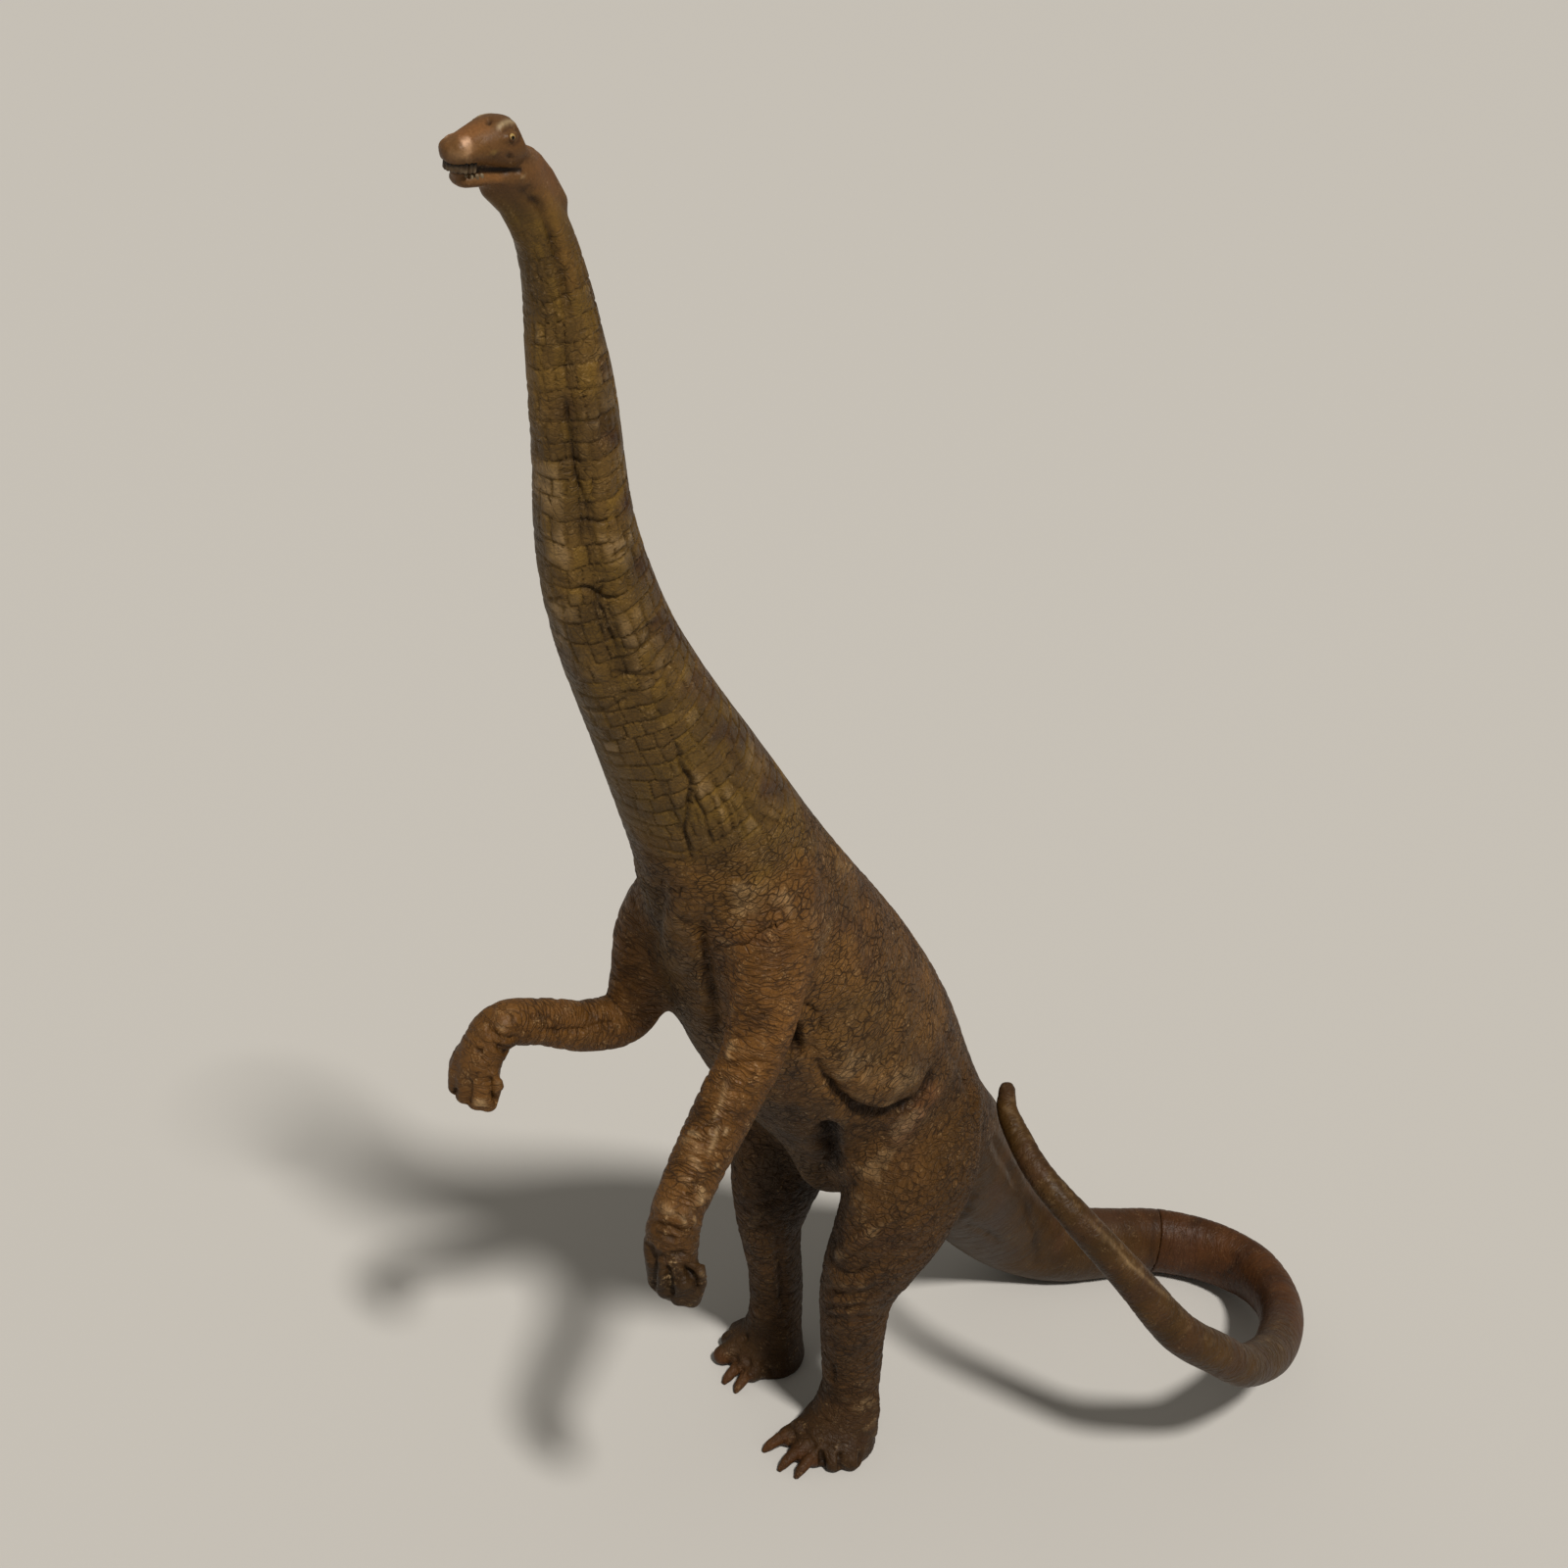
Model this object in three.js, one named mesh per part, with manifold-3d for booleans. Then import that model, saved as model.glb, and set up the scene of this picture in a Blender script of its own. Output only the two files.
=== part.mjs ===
// A toy dinosaur figure: a long-necked plant eater that rears up on its hind legs and its tail.
// Solid vinyl mouldings are glued together with square keyed pegs: torso, neck with head,
// two forelimbs, two hindlimbs, tail base and tail whip. Nothing on the figure moves.
// Millimetres, +Z is up, the animal faces -Y and its left side is +X. The origin lies on the
// floor, in the middle of the figure's box.

import * as THREE from 'three';
import { mergeVertices } from 'three/addons/utils/BufferGeometryUtils.js';
import Module from 'manifold-3d';

const wasm = await Module();
wasm.setup();

// Driving dimensions
const height = 300;
const trunkWidth = 46;
const trunkDepth = 48;
const neckWidth = 17.5;
const neckDepth = 17.5;
const headWidth = 8.8;
const headHeight = 9.8;
const tailWidth = 26;
const tailDepth = 33;
const whipThickness = 9.7;
const thighWidth = 20.5;
const thighDepth = 36;
const armThickness = 12.7;
const keelWidth = 8;
const keelDepth = 12;

// Head details
const eyeSize = 2.6;
const mouthLength = 9;
const mouthOpening = 0.9;
const toothRowWidth = 4.6;
const toothRowLength = 2.6;
const toothRowHeight = 3.4;

// Toes, claws and fingers
const toeThickness = 6.2;
const clawLength = 5.6;
const clawThickness = 2.3;
const fingerThickness = 4.4;
const fingerLength = 8.5;

// Glue joints
const glueGap = 0.3;
const bigPeg = 9;
const limbPeg = 6;
const whipPeg = 4.4;
const pegReach = 7;
const pegRoot = 5;
const neckArchMargin = 9;
const neckSeamRadius = trunkDepth / 2 + neckArchMargin;
const seamClearing = 29;
const overrun = 420;
const weld = 0.001;

// Tables of shares. A place is a share of the height: to the left, to the back, up.
// Half width and half depth are shares of the sizes that the piece is made with.
const tailShares = [
  [0.113, 0.375, 0.030, 0.24, 0.25],
  [0.075, 0.351, 0.028, 0.26, 0.26],
  [0.053, 0.315, 0.029, 0.28, 0.29],
  [0.032, 0.280, 0.032, 0.31, 0.31],
  [0.014, 0.254, 0.043, 0.34, 0.34],
  [0.003, 0.225, 0.067, 0.37, 0.37],
  [0.000, 0.189, 0.107, 0.41, 0.41],
  [0.000, 0.152, 0.150, 0.46, 0.45],
  [0.000, 0.113, 0.193, 0.51, 0.51],
];
const trunkShares = [
  [0.000, 0.067, 0.238, 0.35, 0.39],
  [0.000, 0.021, 0.290, 0.43, 0.44],
  [-0.002, -0.022, 0.344, 0.49, 0.49],
  [-0.004, -0.064, 0.396, 0.50, 0.50],
  [-0.007, -0.103, 0.448, 0.48, 0.47],
  [-0.009, -0.137, 0.501, 0.41, 0.40],
];
const neckShares = [
  [-0.009, -0.169, 0.552, 0.88, 0.92],
  [-0.010, -0.200, 0.599, 0.74, 0.80],
  [-0.010, -0.230, 0.643, 0.65, 0.69],
  [-0.011, -0.257, 0.684, 0.58, 0.60],
  [-0.011, -0.280, 0.721, 0.53, 0.54],
  [-0.012, -0.298, 0.759, 0.48, 0.49],
  [-0.012, -0.310, 0.792, 0.44, 0.44],
  [-0.013, -0.317, 0.825, 0.40, 0.40],
  [-0.013, -0.326, 0.862, 0.37, 0.37],
  [-0.014, -0.335, 0.895, 0.33, 0.32],
  [-0.014, -0.343, 0.921, 0.29, 0.27],
  [-0.015, -0.352, 0.943, 0.26, 0.24],
  [-0.015, -0.363, 0.961, 0.23, 0.21],
  [-0.015, -0.374, 0.974, 0.21, 0.20],
];
const headShares = [
  [-0.015, -0.367, 0.970, 0.33, 0.30],
  [-0.015, -0.375, 0.979, 0.43, 0.39],
  [-0.015, -0.384, 0.984, 0.45, 0.46],
  [-0.015, -0.393, 0.985, 0.40, 0.44],
  [-0.015, -0.401, 0.983, 0.32, 0.37],
  [-0.015, -0.407, 0.983, 0.26, 0.28],
  [-0.015, -0.411, 0.984, 0.17, 0.17],
];
const whipShares = [
  [0.053, 0.315, 0.029, 0.75, 0.99],
  [0.075, 0.351, 0.028, 0.70, 0.88],
  [0.113, 0.375, 0.030, 0.64, 0.85],
  [0.152, 0.379, 0.034, 0.60, 0.80],
  [0.182, 0.363, 0.041, 0.56, 0.74],
  [0.206, 0.336, 0.050, 0.54, 0.68],
  [0.224, 0.301, 0.062, 0.52, 0.61],
  [0.238, 0.261, 0.078, 0.50, 0.55],
  [0.246, 0.221, 0.098, 0.49, 0.51],
  [0.249, 0.185, 0.118, 0.48, 0.48],
  [0.243, 0.149, 0.147, 0.47, 0.47],
  [0.234, 0.122, 0.168, 0.46, 0.46],
  [0.222, 0.106, 0.185, 0.45, 0.45],
  [0.195, 0.082, 0.222, 0.40, 0.40],
  [0.159, 0.058, 0.260, 0.35, 0.35],
  [0.126, 0.052, 0.280, 0.30, 0.30],
  [0.099, 0.058, 0.292, 0.26, 0.26],
  [0.079, 0.065, 0.301, 0.21, 0.21],
  [0.068, 0.075, 0.308, 0.12, 0.12],
];
const keelShares = [
  [-0.001, -0.061, 0.310, 0.30, 0.26],
  [0.000, -0.036, 0.262, 0.42, 0.44],
  [0.000, -0.013, 0.235, 0.44, 0.46],
  [0.000, 0.022, 0.221, 0.32, 0.34],
];
const leftLegShares = [
  [0.050, 0.027, 0.303, 0.33, 0.38],
  [0.056, 0.008, 0.263, 0.50, 0.51],
  [0.054, -0.003, 0.218, 0.49, 0.46],
  [0.049, -0.013, 0.183, 0.43, 0.36],
  [0.045, -0.017, 0.154, 0.37, 0.25],
  [0.043, -0.011, 0.118, 0.33, 0.21],
  [0.041, -0.002, 0.081, 0.32, 0.19],
  [0.041, 0.003, 0.052, 0.31, 0.18],
  [0.042, 0.002, 0.026, 0.36, 0.21],
  [0.042, -0.003, 0.008, 0.43, 0.25],
  [0.042, -0.003, -0.002, 0.42, 0.24],
];
const rightLegShares = [
  [-0.050, 0.031, 0.290, 0.33, 0.38],
  [-0.055, 0.012, 0.246, 0.50, 0.49],
  [-0.052, -0.002, 0.202, 0.45, 0.39],
  [-0.051, -0.006, 0.163, 0.36, 0.27],
  [-0.050, -0.004, 0.137, 0.30, 0.21],
  [-0.051, 0.006, 0.107, 0.28, 0.18],
  [-0.052, 0.015, 0.078, 0.28, 0.18],
  [-0.052, 0.020, 0.050, 0.28, 0.18],
  [-0.052, 0.021, 0.026, 0.33, 0.20],
  [-0.052, 0.020, 0.008, 0.41, 0.24],
  [-0.052, 0.020, -0.002, 0.41, 0.23],
];
const leftArmShares = [
  [0.032, -0.157, 0.541, 0.35, 0.38],
  [0.038, -0.167, 0.516, 0.49, 0.63],
  [0.046, -0.174, 0.487, 0.52, 0.60],
  [0.050, -0.180, 0.459, 0.48, 0.51],
  [0.052, -0.188, 0.436, 0.45, 0.48],
  [0.055, -0.205, 0.415, 0.44, 0.46],
  [0.063, -0.233, 0.390, 0.41, 0.41],
  [0.072, -0.257, 0.368, 0.38, 0.37],
  [0.077, -0.263, 0.345, 0.41, 0.34],
  [0.079, -0.258, 0.322, 0.38, 0.31],
];
const rightArmShares = [
  [-0.050, -0.140, 0.508, 0.35, 0.38],
  [-0.057, -0.158, 0.486, 0.48, 0.58],
  [-0.063, -0.165, 0.457, 0.49, 0.54],
  [-0.065, -0.165, 0.424, 0.44, 0.48],
  [-0.066, -0.172, 0.395, 0.41, 0.44],
  [-0.074, -0.200, 0.393, 0.38, 0.40],
  [-0.085, -0.230, 0.402, 0.35, 0.36],
  [-0.093, -0.256, 0.405, 0.36, 0.34],
  [-0.095, -0.269, 0.386, 0.38, 0.32],
  [-0.095, -0.269, 0.363, 0.37, 0.29],
];

// Glue joints, as shares of the height, and the way that each peg points into its neighbour.
// The neck sits on the shoulders in an arch, so its seam is a plane and a cylinder across it.
const neckSeamShares = [0.000, -0.161, 0.556];
const neckArchShares = [0.000, -0.174, 0.481];
const neckPegShares = [-0.010, -0.187, 0.590];
const tailSeamShares = [0.000, 0.091, 0.216];
const whipSeamShares = [0.075, 0.351, 0.028];
const leftHipShares = [0.050, 0.008, 0.263];
const rightHipShares = [-0.050, 0.013, 0.250];
const leftShoulderShares = [0.047, -0.174, 0.485];
const rightShoulderShares = [-0.061, -0.164, 0.456];
const neckSeamNormal = new THREE.Vector3(0, 0.18, 0.98).normalize();
const neckPegWay = new THREE.Vector3(0, 0.54, -0.84).normalize();
const tailSeamNormal = new THREE.Vector3(0, 0.68, -0.73).normalize();
const whipSeamNormal = new THREE.Vector3(0.70, 0.71, 0).normalize();
const leftward = new THREE.Vector3(1, 0, 0);
const rightward = new THREE.Vector3(-1, 0, 0);
const upward = new THREE.Vector3(0, 0, 1);

// Places on the head, as shares of the height
const leftEyeShares = [-0.0035, -0.3865, 0.9935];
const rightEyeShares = [-0.0265, -0.3865, 0.9935];
const mouthShares = [-0.015, -0.402, 0.978];
const toothRowShares = [-0.015, -0.402, 0.979];

// Feet and hands: middle of the foot or hand as shares of the height, then a row for each toe
// or finger with its turn from straight ahead in degrees and its reach as a share of the height
const leftFootShares = [0.042, -0.003, 0.011];
const rightFootShares = [-0.052, 0.020, 0.011];
const leftToes = [
  { turn: -31, reachShare: 0.059, claw: true },
  { turn: -5, reachShare: 0.058, claw: true },
  { turn: 12, reachShare: 0.054, claw: true },
  { turn: 38, reachShare: 0.036, claw: false },
  { turn: 63, reachShare: 0.034, claw: false },
];
const rightToes = [
  { turn: 21, reachShare: 0.052, claw: true },
  { turn: 3, reachShare: 0.050, claw: true },
  { turn: -25, reachShare: 0.045, claw: true },
  { turn: -52, reachShare: 0.034, claw: false },
  { turn: -77, reachShare: 0.032, claw: false },
];
const toeShares = [
  [0.30, 1.10, 1.00],
  [0.60, 1.00, 1.05],
  [0.86, 0.78, 0.84],
  [1.00, 0.50, 0.44],
];
const clawShares = [
  [0.00, 0.95, 1.20],
  [0.55, 0.70, 0.95],
  [1.00, 0.06, 0.24],
];
const clawFreeShare = 0.75;
const leftHandShares = [0.082, -0.259, 0.332];
const rightHandShares = [-0.095, -0.270, 0.371];
const fingerTurns = [-78, -38, 0, 38, 78];
const fingerShares = [
  [0.50, 0.55],
  [0.25, 0.90],
  [-0.20, 1.00],
  [-0.46, 0.80],
  [-0.56, 0.35],
];
const fingerSpreadShare = 0.0155;
const fingerFlatShare = 0.0085;

// Facets
const sidesOfBody = 28;
const sidesOfLimb = 18;
const sidesOfWhip = 14;
const sidesOfToe = 8;
const sidesOfEye = 10;
const sidesOfArch = 64;

// Turn an indexed three.js geometry into a solid that can be joined and cut
function solid(geometry) {
  const vertProperties = new Float32Array(geometry.attributes.position.array);
  const triVerts = new Uint32Array(geometry.index.array);
  return new wasm.Manifold(new wasm.Mesh({ numProp: 3, vertProperties, triVerts }));
}

// A stock three.js shape as a solid: only its positions are kept and shared
function stock(geometry) {
  geometry.deleteAttribute('normal');
  geometry.deleteAttribute('uv');
  return solid(mergeVertices(geometry, weld));
}

// A place given as shares of the height
function spot(shares) {
  return new THREE.Vector3(...shares.slice(0, 3)).multiplyScalar(height);
}

// Rows of shares into stations with a centre, a half width and a half depth
function stations(rows, width, depth) {
  return rows.map((row) => ({ centre: spot(row), wide: row[3] * width, deep: row[4] * depth }));
}

// A closed skin of elliptical rings along a smooth path through the stations. The ring's
// sideways direction is carried along the path without twisting. A swell adds to every radius.
function loft(list, sides, steps, swell = 0) {
  const path = new THREE.CatmullRomCurve3(list.map((s) => s.centre), false, 'catmullrom');
  const girths = list.map((s) => new THREE.Vector3(s.wide + swell, s.deep + swell, 0));
  const girth = new THREE.CatmullRomCurve3(girths, false, 'catmullrom');
  const rings = (list.length - 1) * steps;
  const across = leftward.clone();
  const points = [];
  const faces = [];
  for (let ring = 0; ring <= rings; ring += 1) {
    const centre = path.getPoint(ring / rings);
    const ahead = path.getTangent(ring / rings);
    const size = girth.getPoint(ring / rings);
    across.addScaledVector(ahead, -across.dot(ahead)).normalize();
    const outward = new THREE.Vector3().crossVectors(ahead, across);
    for (let side = 0; side < sides; side += 1) {
      const angle = (side / sides) * 2 * Math.PI;
      const point = centre.clone().addScaledVector(across, size.x * Math.cos(angle));
      points.push(...point.addScaledVector(outward, size.y * Math.sin(angle)));
    }
  }
  for (let ring = 0; ring < rings; ring += 1) {
    for (let side = 0; side < sides; side += 1) {
      const here = ring * sides + side;
      const beside = ring * sides + ((side + 1) % sides);
      faces.push(here, beside, here + sides, beside, beside + sides, here + sides);
    }
  }
  const first = points.length / 3;
  points.push(...path.getPoint(0), ...path.getPoint(1));
  for (let side = 0; side < sides; side += 1) {
    const beside = (side + 1) % sides;
    const top = rings * sides;
    faces.push(first, beside, side, first + 1, top + side, top + beside);
  }
  const geometry = new THREE.BufferGeometry();
  geometry.setAttribute('position', new THREE.BufferAttribute(new Float32Array(points), 3));
  geometry.setIndex(faces);
  return solid(geometry);
}

// A square bar that starts at a place and runs a given way
function bar(start, way, thickness, length) {
  const geometry = new THREE.BoxGeometry(thickness, thickness, length);
  geometry.translate(0, 0, length / 2);
  geometry.applyQuaternion(new THREE.Quaternion().setFromUnitVectors(upward, way));
  geometry.translate(...start);
  return stock(geometry);
}

// Everything on one side of a plane, kept half a glue gap away from it
function beyond(place, way) {
  return bar(place.clone().addScaledVector(way, glueGap / 2), way, overrun, overrun);
}

// A keyed peg that stands on both sides of a glue joint, and the socket that takes it
function peg(place, into, thickness, reach, root) {
  return bar(place.clone().addScaledVector(into, -root), into, thickness, reach + root);
}

function socket(place, into, thickness, reach, root) {
  const start = place.clone().addScaledVector(into, -root - glueGap);
  return bar(start, into, thickness + 2 * glueGap, reach + root + 2 * glueGap);
}

// A toe is a bulge that leans down from the foot, with or without a curved claw at its end.
// Rows of bulge and claw shares: how far along, how high, how thick.
function toe(middle, turn, reach, clawed) {
  const angle = THREE.MathUtils.degToRad(turn);
  const ahead = new THREE.Vector3(Math.sin(angle), -Math.cos(angle), 0);
  const radius = toeThickness / 2;
  const stop = clawed ? reach - clawLength * clawFreeShare : reach;
  const row = (thickness, from, length) => ([along, up, thick]) => ({
    centre: middle.clone().addScaledVector(ahead, from + along * length).setZ(up * radius),
    wide: (thick * thickness) / 2,
    deep: (thick * thickness) / 2,
  });
  const bulge = loft(toeShares.map(row(toeThickness, 0, stop)), sidesOfToe, 1);
  if (!clawed) return bulge;
  const claw = clawShares.map(row(clawThickness, reach - clawLength, clawLength));
  return bulge.add(loft(claw, sidesOfToe, 2));
}

// Everything above the floor
const aboveFloor = bar(new THREE.Vector3(), upward, overrun, overrun);

function foot(middleShares, toes) {
  const middle = spot(middleShares);
  return toes
    .map((t) => toe(middle, t.turn, t.reachShare * height, t.claw))
    .reduce((all, next) => all.add(next));
}

// A hand is a short column with the fingers as upright ribs round its front
function hand(middleShares) {
  const middle = spot(middleShares);
  const ribs = fingerTurns.map((turn) => {
    const angle = THREE.MathUtils.degToRad(turn);
    const sideways = Math.sin(angle) * fingerSpreadShare * height;
    const forward = -Math.cos(angle) * fingerFlatShare * height;
    const centre = middle.clone().add(new THREE.Vector3(sideways, forward, 0));
    const rows = fingerShares.map(([up, thick]) => ({
      centre: centre.clone().add(new THREE.Vector3(0, 0, up * fingerLength)),
      wide: (thick * fingerThickness) / 2,
      deep: (thick * fingerThickness) / 2,
    }));
    return loft(rows, sidesOfToe, 1);
  });
  return ribs.reduce((all, next) => all.add(next));
}

// The spine from the tail seam to the top of the neck is one skin, so that the mouldings run
// into each other; the swollen copy trims what is glued onto it
const spine = [
  ...stations(tailShares, tailWidth, tailDepth),
  ...stations(trunkShares, trunkWidth, trunkDepth),
  ...stations(neckShares, neckWidth, neckDepth),
];
const keel = stations(keelShares, keelWidth, keelDepth);
const skin = loft(spine, sidesOfBody, 2).add(loft(keel, sidesOfLimb, 1));
const swollenSkin = loft(spine, sidesOfBody, 2, glueGap).add(loft(keel, sidesOfLimb, 1, glueGap));

const neckSeam = spot(neckSeamShares);
const tailSeam = spot(tailSeamShares);
const whipSeam = spot(whipSeamShares);
const aboveNeckSeam = beyond(neckSeam, neckSeamNormal);
const belowNeckSeam = beyond(neckSeam, neckSeamNormal.clone().negate());
const behindTailSeam = beyond(tailSeam, tailSeamNormal);
const beforeTailSeam = beyond(tailSeam, tailSeamNormal.clone().negate());
const beforeWhipSeam = beyond(whipSeam, whipSeamNormal.clone().negate());

// The arch of the neck's seam, half a glue gap smaller for the torso and larger for the neck
function neckArch(radius) {
  const cylinder = new THREE.CylinderGeometry(radius, radius, overrun, sidesOfArch);
  cylinder.rotateZ(Math.PI / 2);
  cylinder.translate(...spot(neckArchShares));
  return stock(cylinder);
}

// Every glued joint: where it is, which way its peg points and how thick the peg is
const joints = {
  neck: { place: spot(neckPegShares), into: neckPegWay, thickness: bigPeg },
  tail: { place: tailSeam, into: tailSeamNormal.clone().negate(), thickness: bigPeg },
  whip: { place: whipSeam, into: whipSeamNormal.clone().negate(), thickness: whipPeg },
  leftHip: { place: spot(leftHipShares), into: rightward, thickness: limbPeg },
  rightHip: { place: spot(rightHipShares), into: leftward, thickness: limbPeg },
  leftShoulder: { place: spot(leftShoulderShares), into: rightward, thickness: limbPeg },
  rightShoulder: { place: spot(rightShoulderShares), into: leftward, thickness: limbPeg },
};

function pegOf(joint) {
  return peg(joint.place, joint.into, joint.thickness, pegReach, pegRoot);
}

function socketOf(joint) {
  return socket(joint.place, joint.into, joint.thickness, pegReach, pegRoot);
}

function torso() {
  const belowNeck = belowNeckSeam.add(neckArch(neckSeamRadius - glueGap / 2));
  const trunk = skin.intersect(belowNeck).intersect(beforeTailSeam);
  const { whip, ...others } = joints;
  return Object.values(others).reduce((body, joint) => body.subtract(socketOf(joint)), trunk);
}

function head() {
  const eye = (shares) => {
    const ball = new THREE.SphereGeometry(eyeSize / 2, sidesOfEye, sidesOfEye);
    ball.translate(...spot(shares));
    return stock(ball);
  };
  const slot = new THREE.BoxGeometry(overrun, mouthLength, mouthOpening);
  slot.translate(...spot(mouthShares));
  const teeth = new THREE.BoxGeometry(toothRowWidth, toothRowLength, toothRowHeight);
  teeth.translate(...spot(toothRowShares));
  return loft(stations(headShares, headWidth, headHeight), sidesOfLimb, 2)
    .add(eye(leftEyeShares))
    .add(eye(rightEyeShares))
    .subtract(stock(slot))
    .add(stock(teeth));
}

function neckAndHead() {
  return skin
    .intersect(aboveNeckSeam)
    .subtract(neckArch(neckSeamRadius + glueGap / 2))
    .add(head())
    .add(pegOf(joints.neck));
}

function tailBase() {
  return skin
    .intersect(behindTailSeam)
    .intersect(beforeWhipSeam)
    .add(pegOf(joints.tail))
    .subtract(socketOf(joints.whip))
    .intersect(aboveFloor);
}

// The whip curls back past its seam, so only the stretch next to the seam is cut away
function tailWhip() {
  const clear = whipSeam.clone().addScaledVector(whipSeamNormal, glueGap / 2);
  return loft(stations(whipShares, whipThickness, whipThickness), sidesOfWhip, 2)
    .subtract(bar(clear, whipSeamNormal.clone().negate(), seamClearing, seamClearing))
    .add(pegOf(joints.whip))
    .intersect(aboveFloor);
}

// A limb is trimmed by the swollen skin, so its root sits on the body with an even glue gap
function hindlimb(rows, middleShares, toes, joint) {
  return loft(stations(rows, thighWidth, thighDepth), sidesOfLimb, 2)
    .add(foot(middleShares, toes))
    .intersect(aboveFloor)
    .subtract(swollenSkin)
    .add(pegOf(joint));
}

function forelimb(rows, middleShares, joint) {
  return loft(stations(rows, armThickness, armThickness), sidesOfLimb, 2)
    .add(hand(middleShares))
    .subtract(swollenSkin)
    .add(pegOf(joint));
}

const paints = {
  neck: new THREE.MeshStandardMaterial({ color: 0x7a5f35, roughness: 0.55, metalness: 0 }),
  torso: new THREE.MeshStandardMaterial({ color: 0x70502f, roughness: 0.55, metalness: 0 }),
  forelimb: new THREE.MeshStandardMaterial({ color: 0x7c5430, roughness: 0.55, metalness: 0 }),
  hindlimb: new THREE.MeshStandardMaterial({ color: 0x553a20, roughness: 0.6, metalness: 0 }),
  tail: new THREE.MeshStandardMaterial({ color: 0x5a3c22, roughness: 0.5, metalness: 0 }),
};

const group = new THREE.Group();

function place(name, body, paint) {
  const { vertProperties, triVerts } = body.getMesh();
  const geometry = new THREE.BufferGeometry();
  geometry.setAttribute('position', new THREE.BufferAttribute(vertProperties, 3));
  geometry.setIndex(new THREE.BufferAttribute(triVerts, 1));
  geometry.computeVertexNormals();
  const mesh = new THREE.Mesh(geometry, paint);
  mesh.name = name;
  group.add(mesh);
}

const leftArm = forelimb(leftArmShares, leftHandShares, joints.leftShoulder);
const rightArm = forelimb(rightArmShares, rightHandShares, joints.rightShoulder);
const leftLeg = hindlimb(leftLegShares, leftFootShares, leftToes, joints.leftHip);
const rightLeg = hindlimb(rightLegShares, rightFootShares, rightToes, joints.rightHip);

place('torso', torso(), paints.torso);
place('neck_and_head', neckAndHead(), paints.neck);
place('forelimb_left', leftArm, paints.forelimb);
place('forelimb_right', rightArm, paints.forelimb);
place('hindlimb_left', leftLeg, paints.hindlimb);
place('hindlimb_right', rightLeg, paints.hindlimb);
place('tail_base', tailBase(), paints.tail);
place('tail_whip', tailWhip(), paints.tail);

// Stand the figure with its box's middle over the origin
const box = new THREE.Box3().setFromObject(group);
const middle = box.getCenter(new THREE.Vector3());
group.position.set(-middle.x, -middle.y, -box.min.z);

export default group;
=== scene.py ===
# %% [markdown]
# # A rearing long-necked dinosaur in painted vinyl
# The real figure is a set of solid vinyl mouldings that are glued together and painted by hand.
# The imported model gives the frame: every size and place below is in millimetres of that model,
# and a mesh is only turned into metres when it is written.

# %% Load the imported figure
import itertools
import math

import bpy
import numpy as np
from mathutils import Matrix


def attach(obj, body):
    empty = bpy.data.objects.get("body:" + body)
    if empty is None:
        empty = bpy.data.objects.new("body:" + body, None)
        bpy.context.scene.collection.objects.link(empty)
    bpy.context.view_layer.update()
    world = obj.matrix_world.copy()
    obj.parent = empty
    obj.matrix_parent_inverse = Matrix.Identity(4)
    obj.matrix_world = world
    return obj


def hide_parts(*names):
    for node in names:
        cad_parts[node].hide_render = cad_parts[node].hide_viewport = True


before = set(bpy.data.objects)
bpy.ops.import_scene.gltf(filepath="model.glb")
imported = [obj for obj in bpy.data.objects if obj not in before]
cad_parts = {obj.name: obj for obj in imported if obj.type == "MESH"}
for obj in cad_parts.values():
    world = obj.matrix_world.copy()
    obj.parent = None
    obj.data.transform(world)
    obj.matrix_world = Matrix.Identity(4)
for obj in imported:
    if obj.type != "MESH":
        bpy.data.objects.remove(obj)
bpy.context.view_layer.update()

import openvdb as vdb
from mathutils import Matrix

metre = 0.001
to_box_middle = np.array([-22.0462, 1.9113, 0.0])
height = 300.0

# %% [markdown]
# ## The view
# The photograph is taken with a short lens from the animal's left front, above the head. A lens
# of 54 mm on a 36 mm sensor gives the same narrowing of the feet. The camera is turned about
# the upright, tilted down and rolled, in that order, because each angle can then be read alone.

# %% Camera
lens, sensor, picture_size = 54.0, 36.0, 1600.0
camera_place = np.array([210.0731, -322.9946, 380.6290])
camera_turn = math.radians(39.1495)
camera_tilt = math.radians(90.0 - 29.1372)
camera_roll = math.radians(9.0110)
camera_data = bpy.data.cameras.new("view")
camera_data.lens = lens
camera_data.sensor_width = sensor
camera_data.clip_start = 0.01
camera_data.dof.use_dof = False
camera = bpy.data.objects.new("view", camera_data)
turning = Matrix.Rotation(camera_turn, 4, "Z") @ Matrix.Rotation(camera_tilt, 4, "X")
turning = turning @ Matrix.Rotation(camera_roll, 4, "Z")
camera.matrix_world = Matrix.Translation(camera_place * metre) @ turning
bpy.context.collection.objects.link(camera)
bpy.context.scene.camera = camera
camera_axes = np.array(turning.to_3x3())
focal_pixels = picture_size * lens / sensor


def picture_of(points):
    """Pixel of each point: its sideways and downward offset over its depth, times the lens."""
    local = (points - camera_place) @ camera_axes
    across = local[:, 0] / -local[:, 2] * focal_pixels + picture_size / 2
    down = -local[:, 1] / -local[:, 2] * focal_pixels + picture_size / 2
    return np.stack([across, down], axis=1)


print("camera at", camera_place)

# %% [markdown]
# ## Floor and light
# The figure stands on a pale sheet. One broad light comes from high up at the camera's right, so
# the shadows fall to the left. It is far away, which lights the whole sheet evenly, and it is
# seven degrees wide, which gives the shadows a soft edge. The world fills the shadows a little.

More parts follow.
